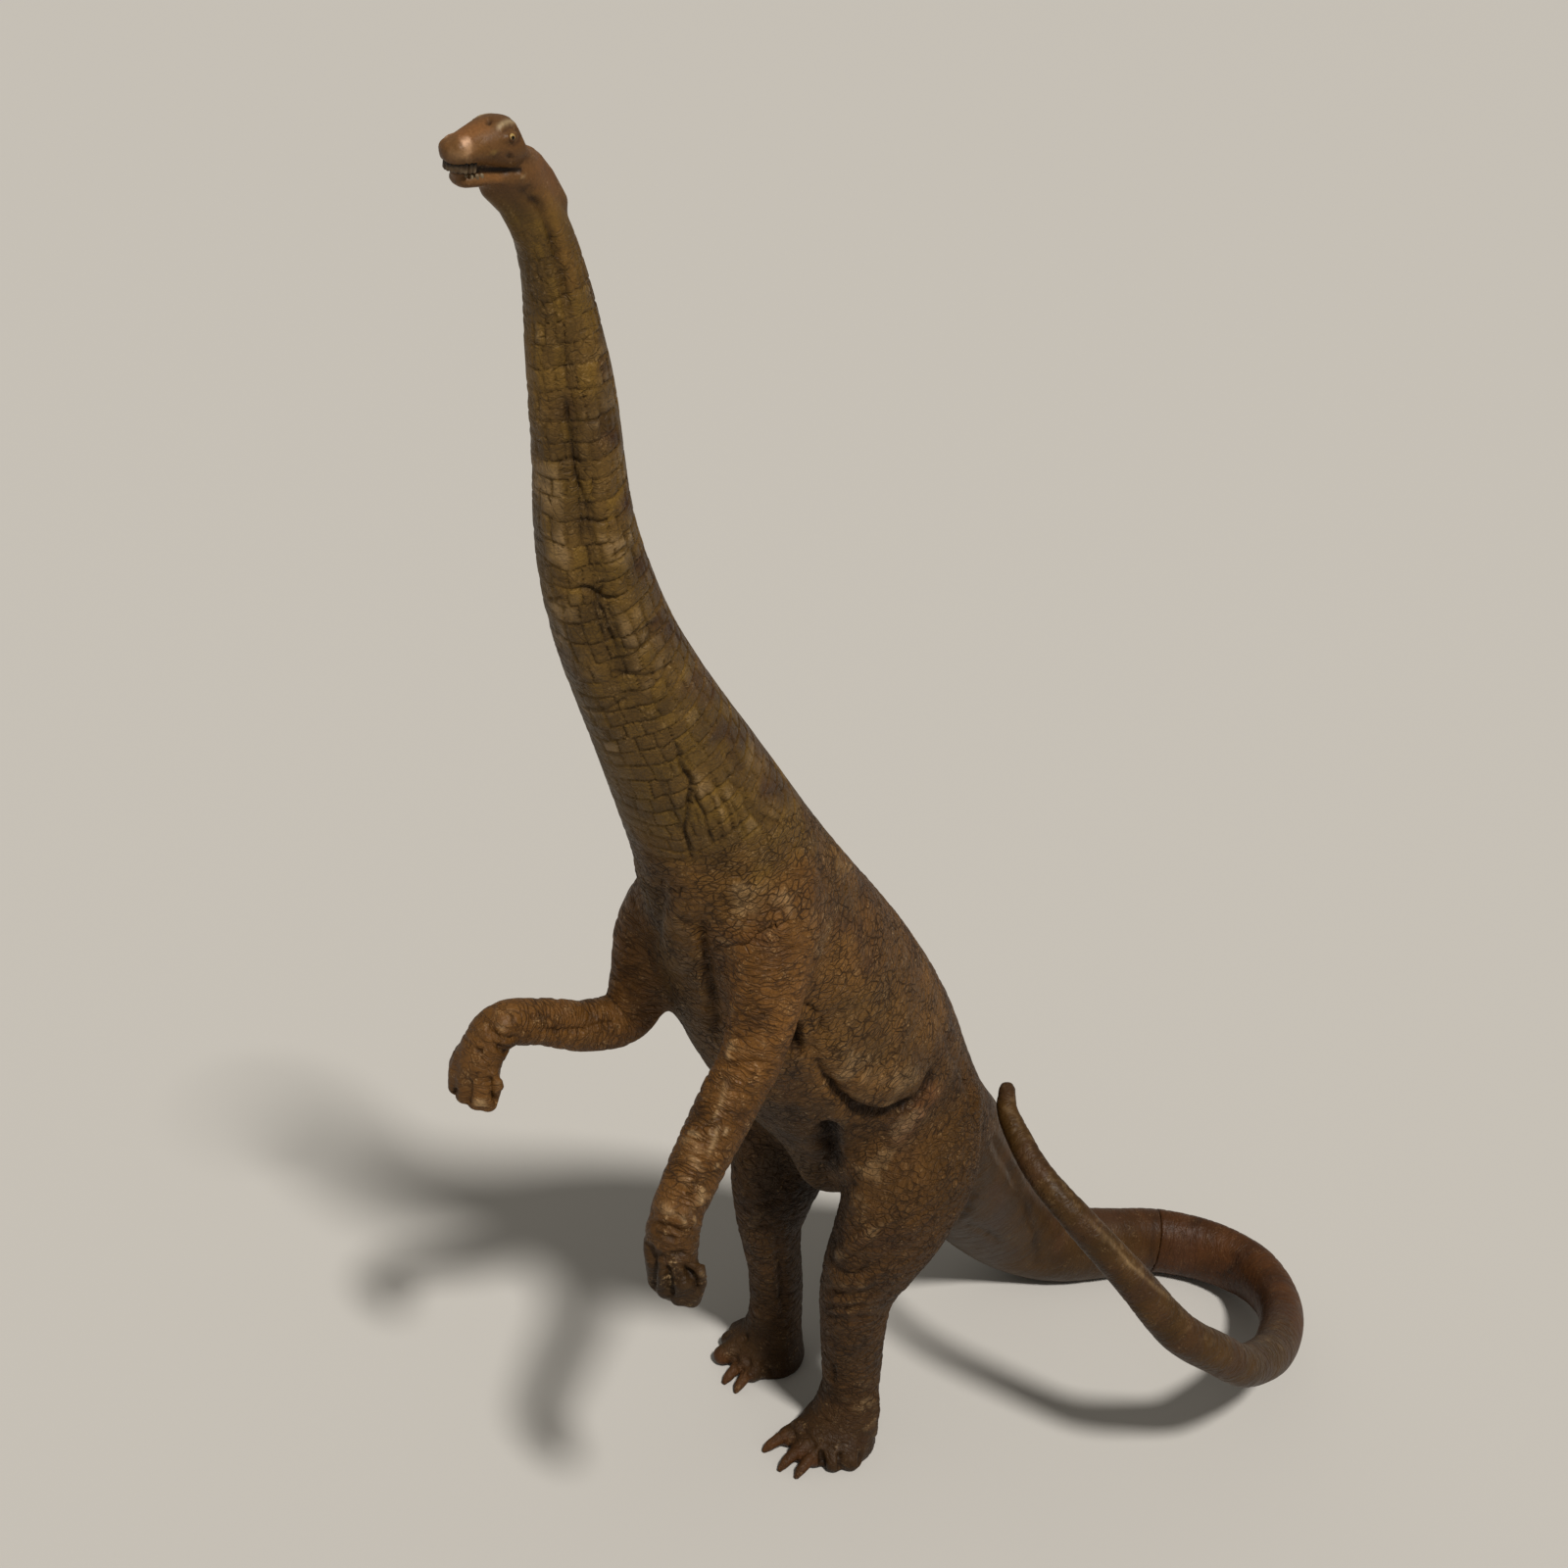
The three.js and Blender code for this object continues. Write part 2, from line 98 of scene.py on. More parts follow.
# %% Floor, lamp and world
floor_size = 6000.0
sheet_colour, sheet_roughness = (0.515, 0.50, 0.475, 1), 0.85
lamp_from, lamp_width, lamp_strength = (0.445, -0.24, 0.862), 7.0, 3.1
lamp_colour, sky_colour, sky_strength = (1.0, 0.96, 0.90), (1.0, 0.95, 0.85, 1), 0.25

floor_mesh = bpy.data.meshes.new("floor")
half = floor_size / 2 * metre
floor_mesh.from_pydata([(-half, -half, 0), (half, -half, 0), (half, half, 0), (-half, half, 0)], [],
                       [(0, 1, 2, 3)])
floor = bpy.data.objects.new("floor", floor_mesh)
bpy.context.collection.objects.link(floor)
floor_paint = bpy.data.materials.new("pale_sheet")
floor_paint.use_nodes = True
floor_shader = floor_paint.node_tree.nodes["Principled BSDF"]
floor_shader.inputs["Base Color"].default_value = sheet_colour
floor_shader.inputs["Roughness"].default_value = sheet_roughness
floor_mesh.materials.append(floor_paint)

lamp_way = np.array(lamp_from) / np.linalg.norm(lamp_from)
lamp_data = bpy.data.lights.new("broad_light", "SUN")
lamp_data.angle = math.radians(lamp_width)
lamp_data.energy = lamp_strength
lamp_data.color = lamp_colour
lamp = bpy.data.objects.new("broad_light", lamp_data)
lamp_side = np.cross([0.0, 0.0, 1.0], lamp_way)
lamp_side /= np.linalg.norm(lamp_side)
lamp_axes = Matrix(np.stack([lamp_side, np.cross(lamp_way, lamp_side), lamp_way], axis=1).tolist())
lamp.matrix_world = lamp_axes.to_4x4()
bpy.context.collection.objects.link(lamp)

world = bpy.data.worlds.new("studio")
bpy.context.scene.world = world
world.use_nodes = True
sky = world.node_tree.nodes["Background"]
sky.inputs["Color"].default_value = sky_colour
sky.inputs["Strength"].default_value = sky_strength
bpy.context.scene.view_settings.view_transform = "Standard"
print("light comes from", lamp_way.round(2))

# %% [markdown]
# ## The body's stations
# The sculptor's armature: for each part a row of stations, each with its place to the left, to
# the back and up as shares of the height, and half a width and half a depth as shares of the
# part's own size. They are the same rows that the solid model is made with, so the skin and the
# solids keep together.

# %% Stations of spine, keel and whip
def rows_of(part, shares):
    """Rows that all belong to one part: the part's own size turns their girths into lengths."""
    return [(part,) + row for row in shares]


spine_rows = rows_of("tail", [
    (0.113, 0.375, 0.030, 0.24, 0.25), (0.075, 0.351, 0.028, 0.26, 0.26),
    (0.053, 0.315, 0.029, 0.28, 0.29), (0.032, 0.280, 0.032, 0.31, 0.31),
    (0.014, 0.254, 0.043, 0.34, 0.34), (0.003, 0.225, 0.067, 0.37, 0.37),
    (0.000, 0.189, 0.107, 0.41, 0.41), (0.000, 0.152, 0.150, 0.46, 0.45),
    (0.000, 0.113, 0.193, 0.51, 0.51)]) + rows_of("trunk", [
    (0.000, 0.067, 0.238, 0.35, 0.39), (0.000, 0.021, 0.290, 0.43, 0.44),
    (-0.002, -0.022, 0.344, 0.49, 0.49), (-0.004, -0.064, 0.396, 0.50, 0.50),
    (-0.007, -0.103, 0.448, 0.48, 0.47), (-0.009, -0.137, 0.501, 0.41, 0.40)]) + rows_of("neck", [
    (-0.009, -0.169, 0.552, 0.88, 0.92), (-0.010, -0.200, 0.599, 0.74, 0.80),
    (-0.010, -0.230, 0.643, 0.65, 0.69), (-0.011, -0.257, 0.684, 0.58, 0.60),
    (-0.011, -0.280, 0.721, 0.53, 0.54), (-0.012, -0.298, 0.759, 0.48, 0.49),
    (-0.012, -0.310, 0.792, 0.44, 0.44), (-0.013, -0.317, 0.825, 0.40, 0.40),
    (-0.013, -0.326, 0.862, 0.37, 0.37), (-0.014, -0.335, 0.895, 0.33, 0.32),
    (-0.014, -0.343, 0.921, 0.29, 0.27), (-0.015, -0.352, 0.943, 0.26, 0.24),
    (-0.015, -0.363, 0.961, 0.23, 0.21), (-0.015, -0.374, 0.974, 0.21, 0.20)])
keel_rows = rows_of("keel", [
    (-0.001, -0.061, 0.310, 0.30, 0.26), (0.000, -0.036, 0.262, 0.42, 0.44),
    (0.000, -0.013, 0.235, 0.44, 0.46), (0.000, 0.022, 0.221, 0.32, 0.34)])
whip_rows = rows_of("whip", [
    (0.053, 0.315, 0.029, 0.75, 0.99), (0.075, 0.351, 0.028, 0.70, 0.88),
    (0.113, 0.375, 0.030, 0.64, 0.85), (0.152, 0.379, 0.034, 0.60, 0.80),
    (0.182, 0.363, 0.041, 0.56, 0.74), (0.206, 0.336, 0.050, 0.54, 0.68),
    (0.224, 0.301, 0.062, 0.52, 0.61), (0.238, 0.261, 0.078, 0.50, 0.55),
    (0.246, 0.221, 0.098, 0.49, 0.51), (0.249, 0.185, 0.118, 0.48, 0.48),
    (0.243, 0.149, 0.147, 0.47, 0.47), (0.234, 0.122, 0.168, 0.46, 0.46),
    (0.222, 0.106, 0.185, 0.45, 0.45), (0.195, 0.082, 0.222, 0.40, 0.40),
    (0.159, 0.058, 0.260, 0.35, 0.35), (0.126, 0.052, 0.280, 0.30, 0.30),
    (0.100, 0.058, 0.292, 0.27, 0.27), (0.082, 0.065, 0.301, 0.23, 0.23),
    (0.072, 0.075, 0.308, 0.18, 0.18)])

# %% Stations of the limbs
limb_rows = {}
limb_rows["leg_left"] = rows_of("leg", [
    (0.050, 0.027, 0.303, 0.33, 0.38), (0.056, 0.008, 0.263, 0.50, 0.51),
    (0.054, -0.003, 0.218, 0.49, 0.46), (0.049, -0.013, 0.183, 0.43, 0.36),
    (0.045, -0.017, 0.154, 0.37, 0.25), (0.043, -0.011, 0.118, 0.33, 0.21),
    (0.041, -0.002, 0.081, 0.32, 0.19), (0.041, 0.003, 0.052, 0.31, 0.18),
    (0.042, 0.002, 0.026, 0.36, 0.21), (0.042, -0.003, 0.008, 0.43, 0.25),
    (0.042, -0.003, -0.002, 0.42, 0.24)])
limb_rows["leg_right"] = rows_of("leg", [
    (-0.050, 0.031, 0.290, 0.33, 0.38), (-0.055, 0.012, 0.246, 0.50, 0.49),
    (-0.052, -0.002, 0.202, 0.45, 0.39), (-0.051, -0.006, 0.163, 0.36, 0.27),
    (-0.050, -0.004, 0.137, 0.30, 0.21), (-0.051, 0.006, 0.107, 0.28, 0.18),
    (-0.052, 0.015, 0.078, 0.28, 0.18), (-0.052, 0.020, 0.050, 0.28, 0.18),
    (-0.052, 0.021, 0.026, 0.33, 0.20), (-0.052, 0.020, 0.008, 0.41, 0.24),
    (-0.052, 0.020, -0.002, 0.41, 0.23)])
limb_rows["arm_left"] = rows_of("arm", [
    (0.032, -0.157, 0.541, 0.35, 0.38), (0.038, -0.167, 0.516, 0.49, 0.63),
    (0.046, -0.174, 0.487, 0.52, 0.60), (0.050, -0.180, 0.459, 0.48, 0.51),
    (0.052, -0.188, 0.436, 0.45, 0.48), (0.055, -0.205, 0.415, 0.44, 0.46),
    (0.063, -0.233, 0.390, 0.41, 0.41), (0.072, -0.257, 0.368, 0.38, 0.37),
    (0.077, -0.263, 0.345, 0.41, 0.34), (0.079, -0.258, 0.322, 0.38, 0.31)])
limb_rows["arm_right"] = rows_of("arm", [
    (-0.050, -0.140, 0.508, 0.35, 0.38), (-0.057, -0.158, 0.486, 0.48, 0.58),
    (-0.063, -0.165, 0.457, 0.49, 0.54), (-0.065, -0.165, 0.424, 0.44, 0.48),
    (-0.066, -0.172, 0.395, 0.41, 0.44), (-0.074, -0.200, 0.393, 0.38, 0.40),
    (-0.085, -0.230, 0.402, 0.35, 0.36), (-0.093, -0.256, 0.405, 0.36, 0.34),
    (-0.095, -0.269, 0.386, 0.38, 0.32), (-0.095, -0.269, 0.363, 0.37, 0.29)])
girths = {"tail": (26.0, 33.0), "trunk": (46.0, 48.0), "neck": (17.5, 17.5), "keel": (8.0, 12.0),
          "whip": (9.7, 9.7), "leg": (20.5, 36.0), "arm": (12.7, 12.7)}


def stations(rows):
    """Rows of shares into rows of place, half width and half depth in millimetres."""
    places = np.array([row[1:4] for row in rows]) * height + to_box_middle
    sizes = np.array([[row[4] * girths[row[0]][0], row[5] * girths[row[0]][1]] for row in rows])
    return np.hstack([places, sizes])


print("stations of the spine:", len(spine_rows))

# %% [markdown]
# ## A limb as a profile carried along a path
# A leg, an arm, the neck and the tail are all a ring that is carried along a curved path. The
# path and the girth run through the stations as one smooth curve, and the ring keeps its
# sideways direction without twisting, so wrinkles later follow the limb. Both ends are rounded.

# %% Carry rings along a path
def smooth(rows, steps):
    """Catmull-Rom curve: between two stations runs a cubic whose slope at each station is half
    the step from the station before it to the station after it."""
    padded = np.vstack([2 * rows[0] - rows[1], rows, 2 * rows[-1] - rows[-2]])
    t = np.linspace(0, 1, steps, endpoint=False)[:, None, None]
    a, b, c, d = padded[:-3], padded[1:-2], padded[2:-1], padded[3:]
    curve = b + ((c - a) * t + (2 * a - 5 * b + 4 * c - d) * t ** 2
                 + (3 * b - a - 3 * c + d) * t ** 3) / 2
    return np.vstack([curve.transpose(1, 0, 2).reshape(-1, rows.shape[1]), rows[-1]])


def unit(vectors):
    """Vectors divided by their own length."""
    return vectors / np.maximum(np.linalg.norm(vectors, axis=-1, keepdims=True), 1e-9)


def path_of(rows, steps=10, first_side=(1.0, 0.0, 0.0)):
    """A path with its ways ahead, across and outward, its girth and the length run so far."""
    curve = smooth(rows, steps)
    ahead = unit(np.gradient(curve[:, :3], axis=0))
    across = np.empty_like(ahead)
    side = np.array(first_side)
    for index, way in enumerate(ahead):
        side = unit(side - way * side.dot(way))
        across[index] = side
    steps_run = np.linalg.norm(np.diff(curve[:, :3], axis=0), axis=1)
    run = np.concatenate([[0.0], np.cumsum(steps_run)])
    return {"centre": curve[:, :3], "ahead": ahead, "across": across,
            "outward": np.cross(ahead, across), "girth": curve[:, 3:5], "run": run}


def tube(path, sides=40, caps=6):
    """Rings centre + across * width * cos(a) + outward * depth * sin(a); past both ends the ring
    shrinks as cos(b) while its centre moves on as sin(b), which rounds the end. The last ring
    stops just short of a point, because a ring of no size would leave the form open."""
    last_bend = 0.9995 * np.pi / 2
    bend = np.linspace(0, last_bend, caps + 1)[1:]
    rings = []
    for end, sign in ((0, -1.0), (-1, 1.0)):
        width, depth = path["girth"][end]
        push = path["ahead"][end] * sign * min(width, depth) * np.sin(bend)[:, None]
        rings.append((path["centre"][end] + push, path["girth"][end] * np.cos(bend)[:, None],
                      np.repeat(path["across"][end][None], caps, 0),
                      np.repeat(path["outward"][end][None], caps, 0)))
    centre = np.vstack([rings[0][0][::-1], path["centre"], rings[1][0]])
    girth = np.vstack([rings[0][1][::-1], path["girth"], rings[1][1]])
    across = np.vstack([rings[0][2], path["across"], rings[1][2]])
    outward = np.vstack([rings[0][3], path["outward"], rings[1][3]])
    angle = np.linspace(0, 2 * np.pi, sides, endpoint=False)
    points = (centre[:, None] + across[:, None] * (girth[:, 0, None] * np.cos(angle))[..., None]
              + outward[:, None] * (girth[:, 1, None] * np.sin(angle))[..., None])
    return points.reshape(-1, 3), ring_faces(len(centre), sides)


def ring_faces(rings, sides):
    """Four-sided faces between each ring and the next, all facing outwards."""
    ring, side = np.meshgrid(np.arange(rings - 1), np.arange(sides), indexing="ij")
    here, beside = ring * sides + side, ring * sides + (side + 1) % sides
    return np.stack([here, beside, beside + sides, here + sides], axis=-1).reshape(-1, 4)


spine = path_of(stations(spine_rows))
print("spine runs", round(float(spine["run"][-1])), "mm")

# %% [markdown]
# ## Clay on the armature
# A sculptor presses the legs into the body until no edge is left between them. The same happens
# here in a block of small cells: each form fills the block with its distance from the skin,
# negative inside, and two forms are joined by a minimum that is rounded over a few millimetres.
# A mesh of the zero distance is then one closed skin. Lofts alone would meet in hard edges.

# %% A block of cells
class Block:
    """A box of cubic cells between two corners."""

    def __init__(self, low, high, cell):
        self.cell = cell
        self.first = np.floor(np.array(low) / cell).astype(int)
        self.size = np.ceil((np.array(high) - np.array(low)) / cell).astype(int) + 1

    def axes(self):
        """Places of the cells along x, y and z, each ready to spread over the block."""
        x, y, z = (((self.first[k] + np.arange(self.size[k])) * self.cell).astype(np.float32)
                   for k in range(3))
        return x[:, None, None], y[None, :, None], z[None, None, :]


# distances are known this far in millimetres on both sides of a skin
reach = 7.0


def skin_field(block, form):
    """Distance of every cell from a closed mesh, cut off at the reach."""
    points, faces = form
    grid = vdb.FloatGrid.createLevelSetFromPolygons(
        points.astype(np.float32), quads=faces.astype(np.uint32),
        transform=vdb.createLinearTransform(voxelSize=block.cell), halfWidth=reach / block.cell)
    values = np.empty(tuple(block.size), np.float32)
    grid.copyToArray(values, ijk=tuple(int(v) for v in block.first))
    return values


def rope_field(block, places, radii):
    """Distance from a chain of straight stretches less a radius that changes along each."""
    x, y, z = block.axes()
    nearest = np.full(tuple(block.size), reach, np.float32)
    for (a, ra), (b, rb) in itertools.pairwise(zip(np.array(places, float), radii)):
        way = (b - a).astype(np.float32)
        share = ((x - a[0]) * way[0] + (y - a[1]) * way[1] + (z - a[2]) * way[2]) / way.dot(way)
        share = np.clip(share, 0, 1)
        gap = np.sqrt((x - a[0] - share * way[0]) ** 2 + (y - a[1] - share * way[1]) ** 2
                      + (z - a[2] - share * way[2]) ** 2)
        nearest = np.minimum(nearest, gap - (ra + share * (rb - ra)))
    return nearest


def plane_field(block, place, way):
    """Height of every cell above a plane: negative behind it."""
    x, y, z = block.axes()
    way = unit(np.array(way, float))
    return ((x - place[0]) * way[0] + (y - place[1]) * way[1]
            + (z - place[2]) * way[2]).astype(np.float32)


def join(one, other, blend):
    """Rounded minimum: the lower value, less a quarter of the squared overlap of the two."""
    overlap = np.maximum(blend - np.abs(one - other), 0) / blend
    return np.minimum(one, other) - overlap * overlap * blend / 4


def carve(one, other, blend):
    """The first form less the second, with a rounded edge."""
    return -join(-one, other, blend)


def cut(one, other):
    """What is in the first form and behind the second."""
    return np.maximum(one, other)


def mesh_of(block, values):
    """The skin where the distance is zero, as points in millimetres and four-sided faces."""
    grid = vdb.FloatGrid(reach)
    edge = np.pad(values[1:-1, 1:-1, 1:-1], 1, constant_values=reach)
    grid.copyFromArray(np.clip(edge, -reach, reach).astype(np.float32),
                       ijk=tuple(int(v) for v in block.first), tolerance=0.0)
    grid.transform = vdb.createLinearTransform(voxelSize=block.cell)
    points, faces = grid.convertToQuads(isovalue=0.0)
    return points.astype(np.float64), faces.astype(np.int64)


# %% [markdown]
# ## Seams
# The mouldings meet where the figure is glued: the neck sits on the shoulders in an arch, the
# tail on a slanting plane, the whip on an upright one. A limb meets the body where both forms
# are equally deep, so its seam runs along the fold of the shoulder or the hip.

# %% Seam places
def spot(left, back, up):
    """A place given as shares of the height."""
    return np.array([left, back, up]) * height + to_box_middle


seam_gap = 0.06
neck_seam, neck_seam_way = spot(0.000, -0.161, 0.556), (0.0, 0.18, 0.98)
neck_arch, neck_arch_radius = spot(0.000, -0.174, 0.481), 33.0
tail_seam, tail_seam_way = spot(0.000, 0.091, 0.216), (0.0, 0.68, -0.73)
whip_seam, whip_seam_way = spot(0.075, 0.351, 0.028), (0.70, 0.71, 0.0)
left_foot, right_foot = spot(0.042, -0.003, 0.0), spot(-0.052, 0.020, 0.0)
left_hand, right_hand = spot(0.082, -0.259, 0.332), spot(-0.095, -0.270, 0.371)


def below_neck(block):
    """Below the plane or inside the arch: negative in the torso, positive in the neck."""
    x, y, z = block.axes()
    arch = np.sqrt((y - neck_arch[1]) ** 2 + (z - neck_arch[2]) ** 2) + 0 * x - neck_arch_radius
    return np.minimum(plane_field(block, neck_seam, neck_seam_way), arch)


coarse = 1.0
cells = {"torso": 0.6, "neck": 0.355, "leg": 0.42, "arm": 0.34, "tail": 0.45, "whip": 0.36}
cells = {part: cell * coarse for part, cell in cells.items()}
leg_blend, arm_blend, keel_blend, tail_blend = 6.0, 5.0, 4.0, 4.0
foot_blend, hand_blend, leg_margin, arm_margin = 2.2, 1.0, 7.0, 5.0
print("cells in mm:", cells)

# %% [markdown]
# ## Feet and hands
# Each foot is a round pad with five toes; three of them on the left foot and two on the right
# end in a curved claw. The hands are short columns with the fingers as upright ribs. Toes and
# fingers are chains of balls that are rounded into the pad.

# %% Toes, claws and fingers
# a toe runs out by a share of its length and some millimetres more, at a height; a claw runs
# ahead from its root, at a height; a finger stands ahead of its place, at a height
toe_chain = [(0.35, 0.0, 3.6), (0.70, 0.0, 3.0), (1.0, -1.4, 2.3)]
claw_back, claw_free = 2.6, 4.8
claw_chain = [(0.0, 3.1), (3.6, 2.7), (5.9, 1.7), (7.2, 0.6)]
finger_chain = [(0.0, 3.6), (0.0, 0.6), (-0.3, -3.0)]
toe_radii, claw_radii, finger_radii = [3.3, 2.9, 2.3], [1.5, 1.4, 1.15, 0.65], [1.3, 2.05, 1.7]
toe_blend, finger_blend = 1.1, 0.9
hand_width, hand_depth = 4.65, 2.55
left_toes = [(-31, 17.7, True), (-5, 17.4, True), (12, 16.2, True), (38, 10.8, False),
             (63, 10.2, False)]
right_toes = [(21, 15.6, True), (3, 15.0, True), (-25, 12.6, False), (-52, 10.2, False),
              (-77, 9.6, False)]
finger_turns = (-78, -38, 0, 38, 78)


def turned(degrees):
    """The way ahead, turned about the upright."""
    angle = math.radians(degrees)
    return np.array([math.sin(angle), -math.cos(angle), 0.0])


def foot_field(block, middle, toes):
    """Toes as ropes that run out from the foot and down, each joined to the next. A claw turns
    back to straight ahead by half of its toe's turn."""
    pads = np.full(tuple(block.size), reach, np.float32)
    claws = pads.copy()
    for turn, length, clawed in toes:
        way = turned(turn)
        stop = length - claw_free if clawed else length
        chain = [middle + way * (share * stop + more) + [0, 0, up] for share, more, up in toe_chain]
        pads = join(pads, rope_field(block, chain, toe_radii), toe_blend)
        if clawed:
            root, ahead = middle + way * (stop - claw_back), turned(0.5 * turn)
            chain = [root + ahead * along + [0, 0, up] for along, up in claw_chain]
            claws = np.minimum(claws, rope_field(block, chain, claw_radii))
    return pads, claws


def hand_field(block, middle):
    """Five short upright ropes on an oval round the hand's front."""
    ribs = np.full(tuple(block.size), reach, np.float32)
    for turn in finger_turns:
        place = middle + turned(turn) * [hand_width, hand_depth, 0.0]
        chain = [place + [0, ahead, up] for ahead, up in finger_chain]
        ribs = join(ribs, rope_field(block, chain, finger_radii), finger_blend)
    return ribs


feet = {"left": (left_foot, left_toes), "right": (right_foot, right_toes)}
hands = {"left": left_hand, "right": right_hand}

# %% [markdown]
# ## Noise for sculpted skin
# No two wrinkles on the real skin are alike. Noise gives that: random ways on a lattice that are
# eased into each other. It is worked out for all points at once, and the same seed always gives
# the same skin.

# %% Noise on whole arrays
def scatter(cell, seed):
    """Mix the whole numbers of each cell and a seed into 32 random-looking bits."""
    whole = (cell.astype(np.int64) & 0xFFFFFFFF).astype(np.uint32)
    mixed = whole[..., 0] * np.uint32(374761393) + whole[..., 1] * np.uint32(668265263)
    mixed = mixed + whole[..., 2] * np.uint32(2246822519) + np.uint32(seed * 7919 + 1)
    mixed = (mixed ^ (mixed >> np.uint32(13))) * np.uint32(1274126177)
    return mixed ^ (mixed >> np.uint32(16))


def shares_of(bits):
    """Three random shares between 0 and 1 out of each set of bits."""
    return np.stack([(bits >> np.uint32(s)) & np.uint32(1023) for s in (0, 10, 20)], -1) / 1023.0


def noise(points, seed=0):
    """Gradient noise, about -1 to 1: at each corner of a cell the offset is multiplied with that
    corner's random way, and the eight products are eased into one value."""
    base = np.floor(points)
    part = points - base
    ease = part ** 3 * (part * (part * 6 - 15) + 10)
    total = np.zeros(len(points))
    for corner in itertools.product((0, 1), repeat=3):
        way = shares_of(scatter(base + corner, seed)) * 2 - 1
        weight = np.prod(np.where(np.array(corner) == 1, ease, 1 - ease), axis=1)
        total += weight * np.einsum("ij,ij->i", way, part - corner)
    return total * 1.35


def plates(points, jitter=0.9, seed=0):
    """Cellular noise: one random point in each cell; how much nearer the nearest point is than
    the next one, which is zero on a crack, and a random share for the plate."""
    base = np.floor(points)
    part = points - base
    first = np.full(len(points), 9.0)
    second, owner = first.copy(), np.zeros(len(points), np.uint32)
    for step in itertools.product((-1, 0, 1), repeat=3):
        bits = scatter(base + step, seed)
        gap = np.linalg.norm(np.array(step) + 0.5 + jitter * (shares_of(bits) - 0.5) - part, axis=1)
        closer = gap < first
        second = np.where(closer, first, np.minimum(second, gap))
        owner = np.where(closer, bits, owner)
        first = np.minimum(first, gap)
    return second - first, (owner & np.uint32(255)) / 255.0


def ease_step(values, low, high):
    """Rises smoothly from 0 at low to 1 at high."""
    share = np.clip((values - low) / (high - low), 0, 1)
    return share * share * (3 - 2 * share)


def bump_of(values, middle, spread):
    """A bell: one at the middle, falling off with the squared distance over the spread."""
    return np.exp(-((values - middle) / spread) ** 2)


# %% [markdown]
# ## Laying a body out straight
# Wrinkles run round a neck or a leg, wherever it bends. So each point of the skin is given
# its place on the straightened body: how far across, how far outward and how far along its path.

# %% Straightened places
def straightened(points, path):
    """Place across, outward and along for each point, measured from the nearest point of the
    path, with the angle round the path: 0 is left, a quarter turn is the back."""
    centre = path["centre"]
    nearest = np.empty(len(points), int)
    for part in np.array_split(np.arange(len(points)), max(1, len(points) // 20000)):
        nearest[part] = np.argmin((centre ** 2).sum(1) - 2 * points[part] @ centre.T, axis=1)
    offset = points - centre[nearest]
    across = np.einsum("ij,ij->i", offset, path["across"][nearest])
    outward = np.einsum("ij,ij->i", offset, path["outward"][nearest])
    along = path["run"][nearest] + np.einsum("ij,ij->i", offset, path["ahead"][nearest])
    girth = path["girth"][nearest]
    return {"place": np.stack([across, outward, along], 1), "along": along, "girth": girth,
            "angle": np.arctan2(outward / girth[:, 1], across / girth[:, 0]),
            "centre": centre[nearest]}


def sample(block, values, points):
    """Value at each point, mixed from the eight cells round it by how near they are."""
    place = np.clip(points / block.cell - block.first, 0, block.size - 1.001)
    base = np.floor(place).astype(int)
    part = place - base
    total = np.zeros(len(points))
    for corner in itertools.product((0, 1), repeat=3):
        weight = np.prod(np.where(np.array(corner) == 1, part, 1 - part), axis=1)
        total += weight * values[tuple((base + corner).T)]
    return total


# %% [markdown]
# ## Strokes of the modelling tool
# The folds of the real figure are strokes of a modelling tool, and the photograph shows where
# they run. A stroke is written as the pixels that it passes through, and it is pressed into the
# skin that faces the camera there. The far side of the body gets the same strokes, mirrored.

# %% Press strokes into the skin
stroke_wander, stroke_unevenness, stroke_margin, end_fade = 2.2, 0.45, 3.2, 0.20
edge_on, well_seen = 0.02, 0.30


def press(points, normals, strokes):
    """Height in millimetres that all strokes give each point: the stroke's height times a bell
    of the distance from its line, faded at the line's ends and where the skin turns away."""
    pixels = picture_of(points)
    to_camera = unit(camera_place - points)
    facing = ease_step(np.einsum("ij,ij->i", normals, to_camera), edge_on, well_seen)
    scale = focal_pixels / np.linalg.norm(camera_place - points, axis=1)
    total = np.zeros(len(points))
    for line, width, rise in strokes:
        curve = smooth(np.array(line, float), 4)
        margin = width * stroke_margin * scale.max()
        near = np.all((pixels > curve.min(0) - margin) & (pixels < curve.max(0) + margin), axis=1)
        near = np.flatnonzero(near & (facing > 0))
        if not len(near):
            continue
        best = np.full(len(near), 1e9)
        where = np.zeros(len(near))
        wander = np.stack([noise(points[near] / 4.0, 27), noise(points[near] / 4.0, 28)], 1)
        shown = pixels[near] + stroke_wander * wander
        lengths = np.linalg.norm(np.diff(curve, axis=0), axis=1)
        run = np.concatenate([[0], np.cumsum(lengths)]) / lengths.sum()
        for index in range(len(curve) - 1):
            way = curve[index + 1] - curve[index]
            share = np.clip(((shown - curve[index]) @ way) / max(way @ way, 1e-9), 0, 1)
            gap = np.linalg.norm(shown - curve[index] - share[:, None] * way, axis=1)
            closer = gap < best
            best = np.where(closer, gap, best)
            where = np.where(closer, run[index] + share * (run[index + 1] - run[index]), where)
        fade = ease_step(np.minimum(where, 1 - where), -0.02, end_fade)
        uneven = facing[near] * (1 + stroke_unevenness * noise(points[near] / 3.0, 29))
        total[near] += rise * fade * uneven * bump_of(best / scale[near], 0, width)
    return total


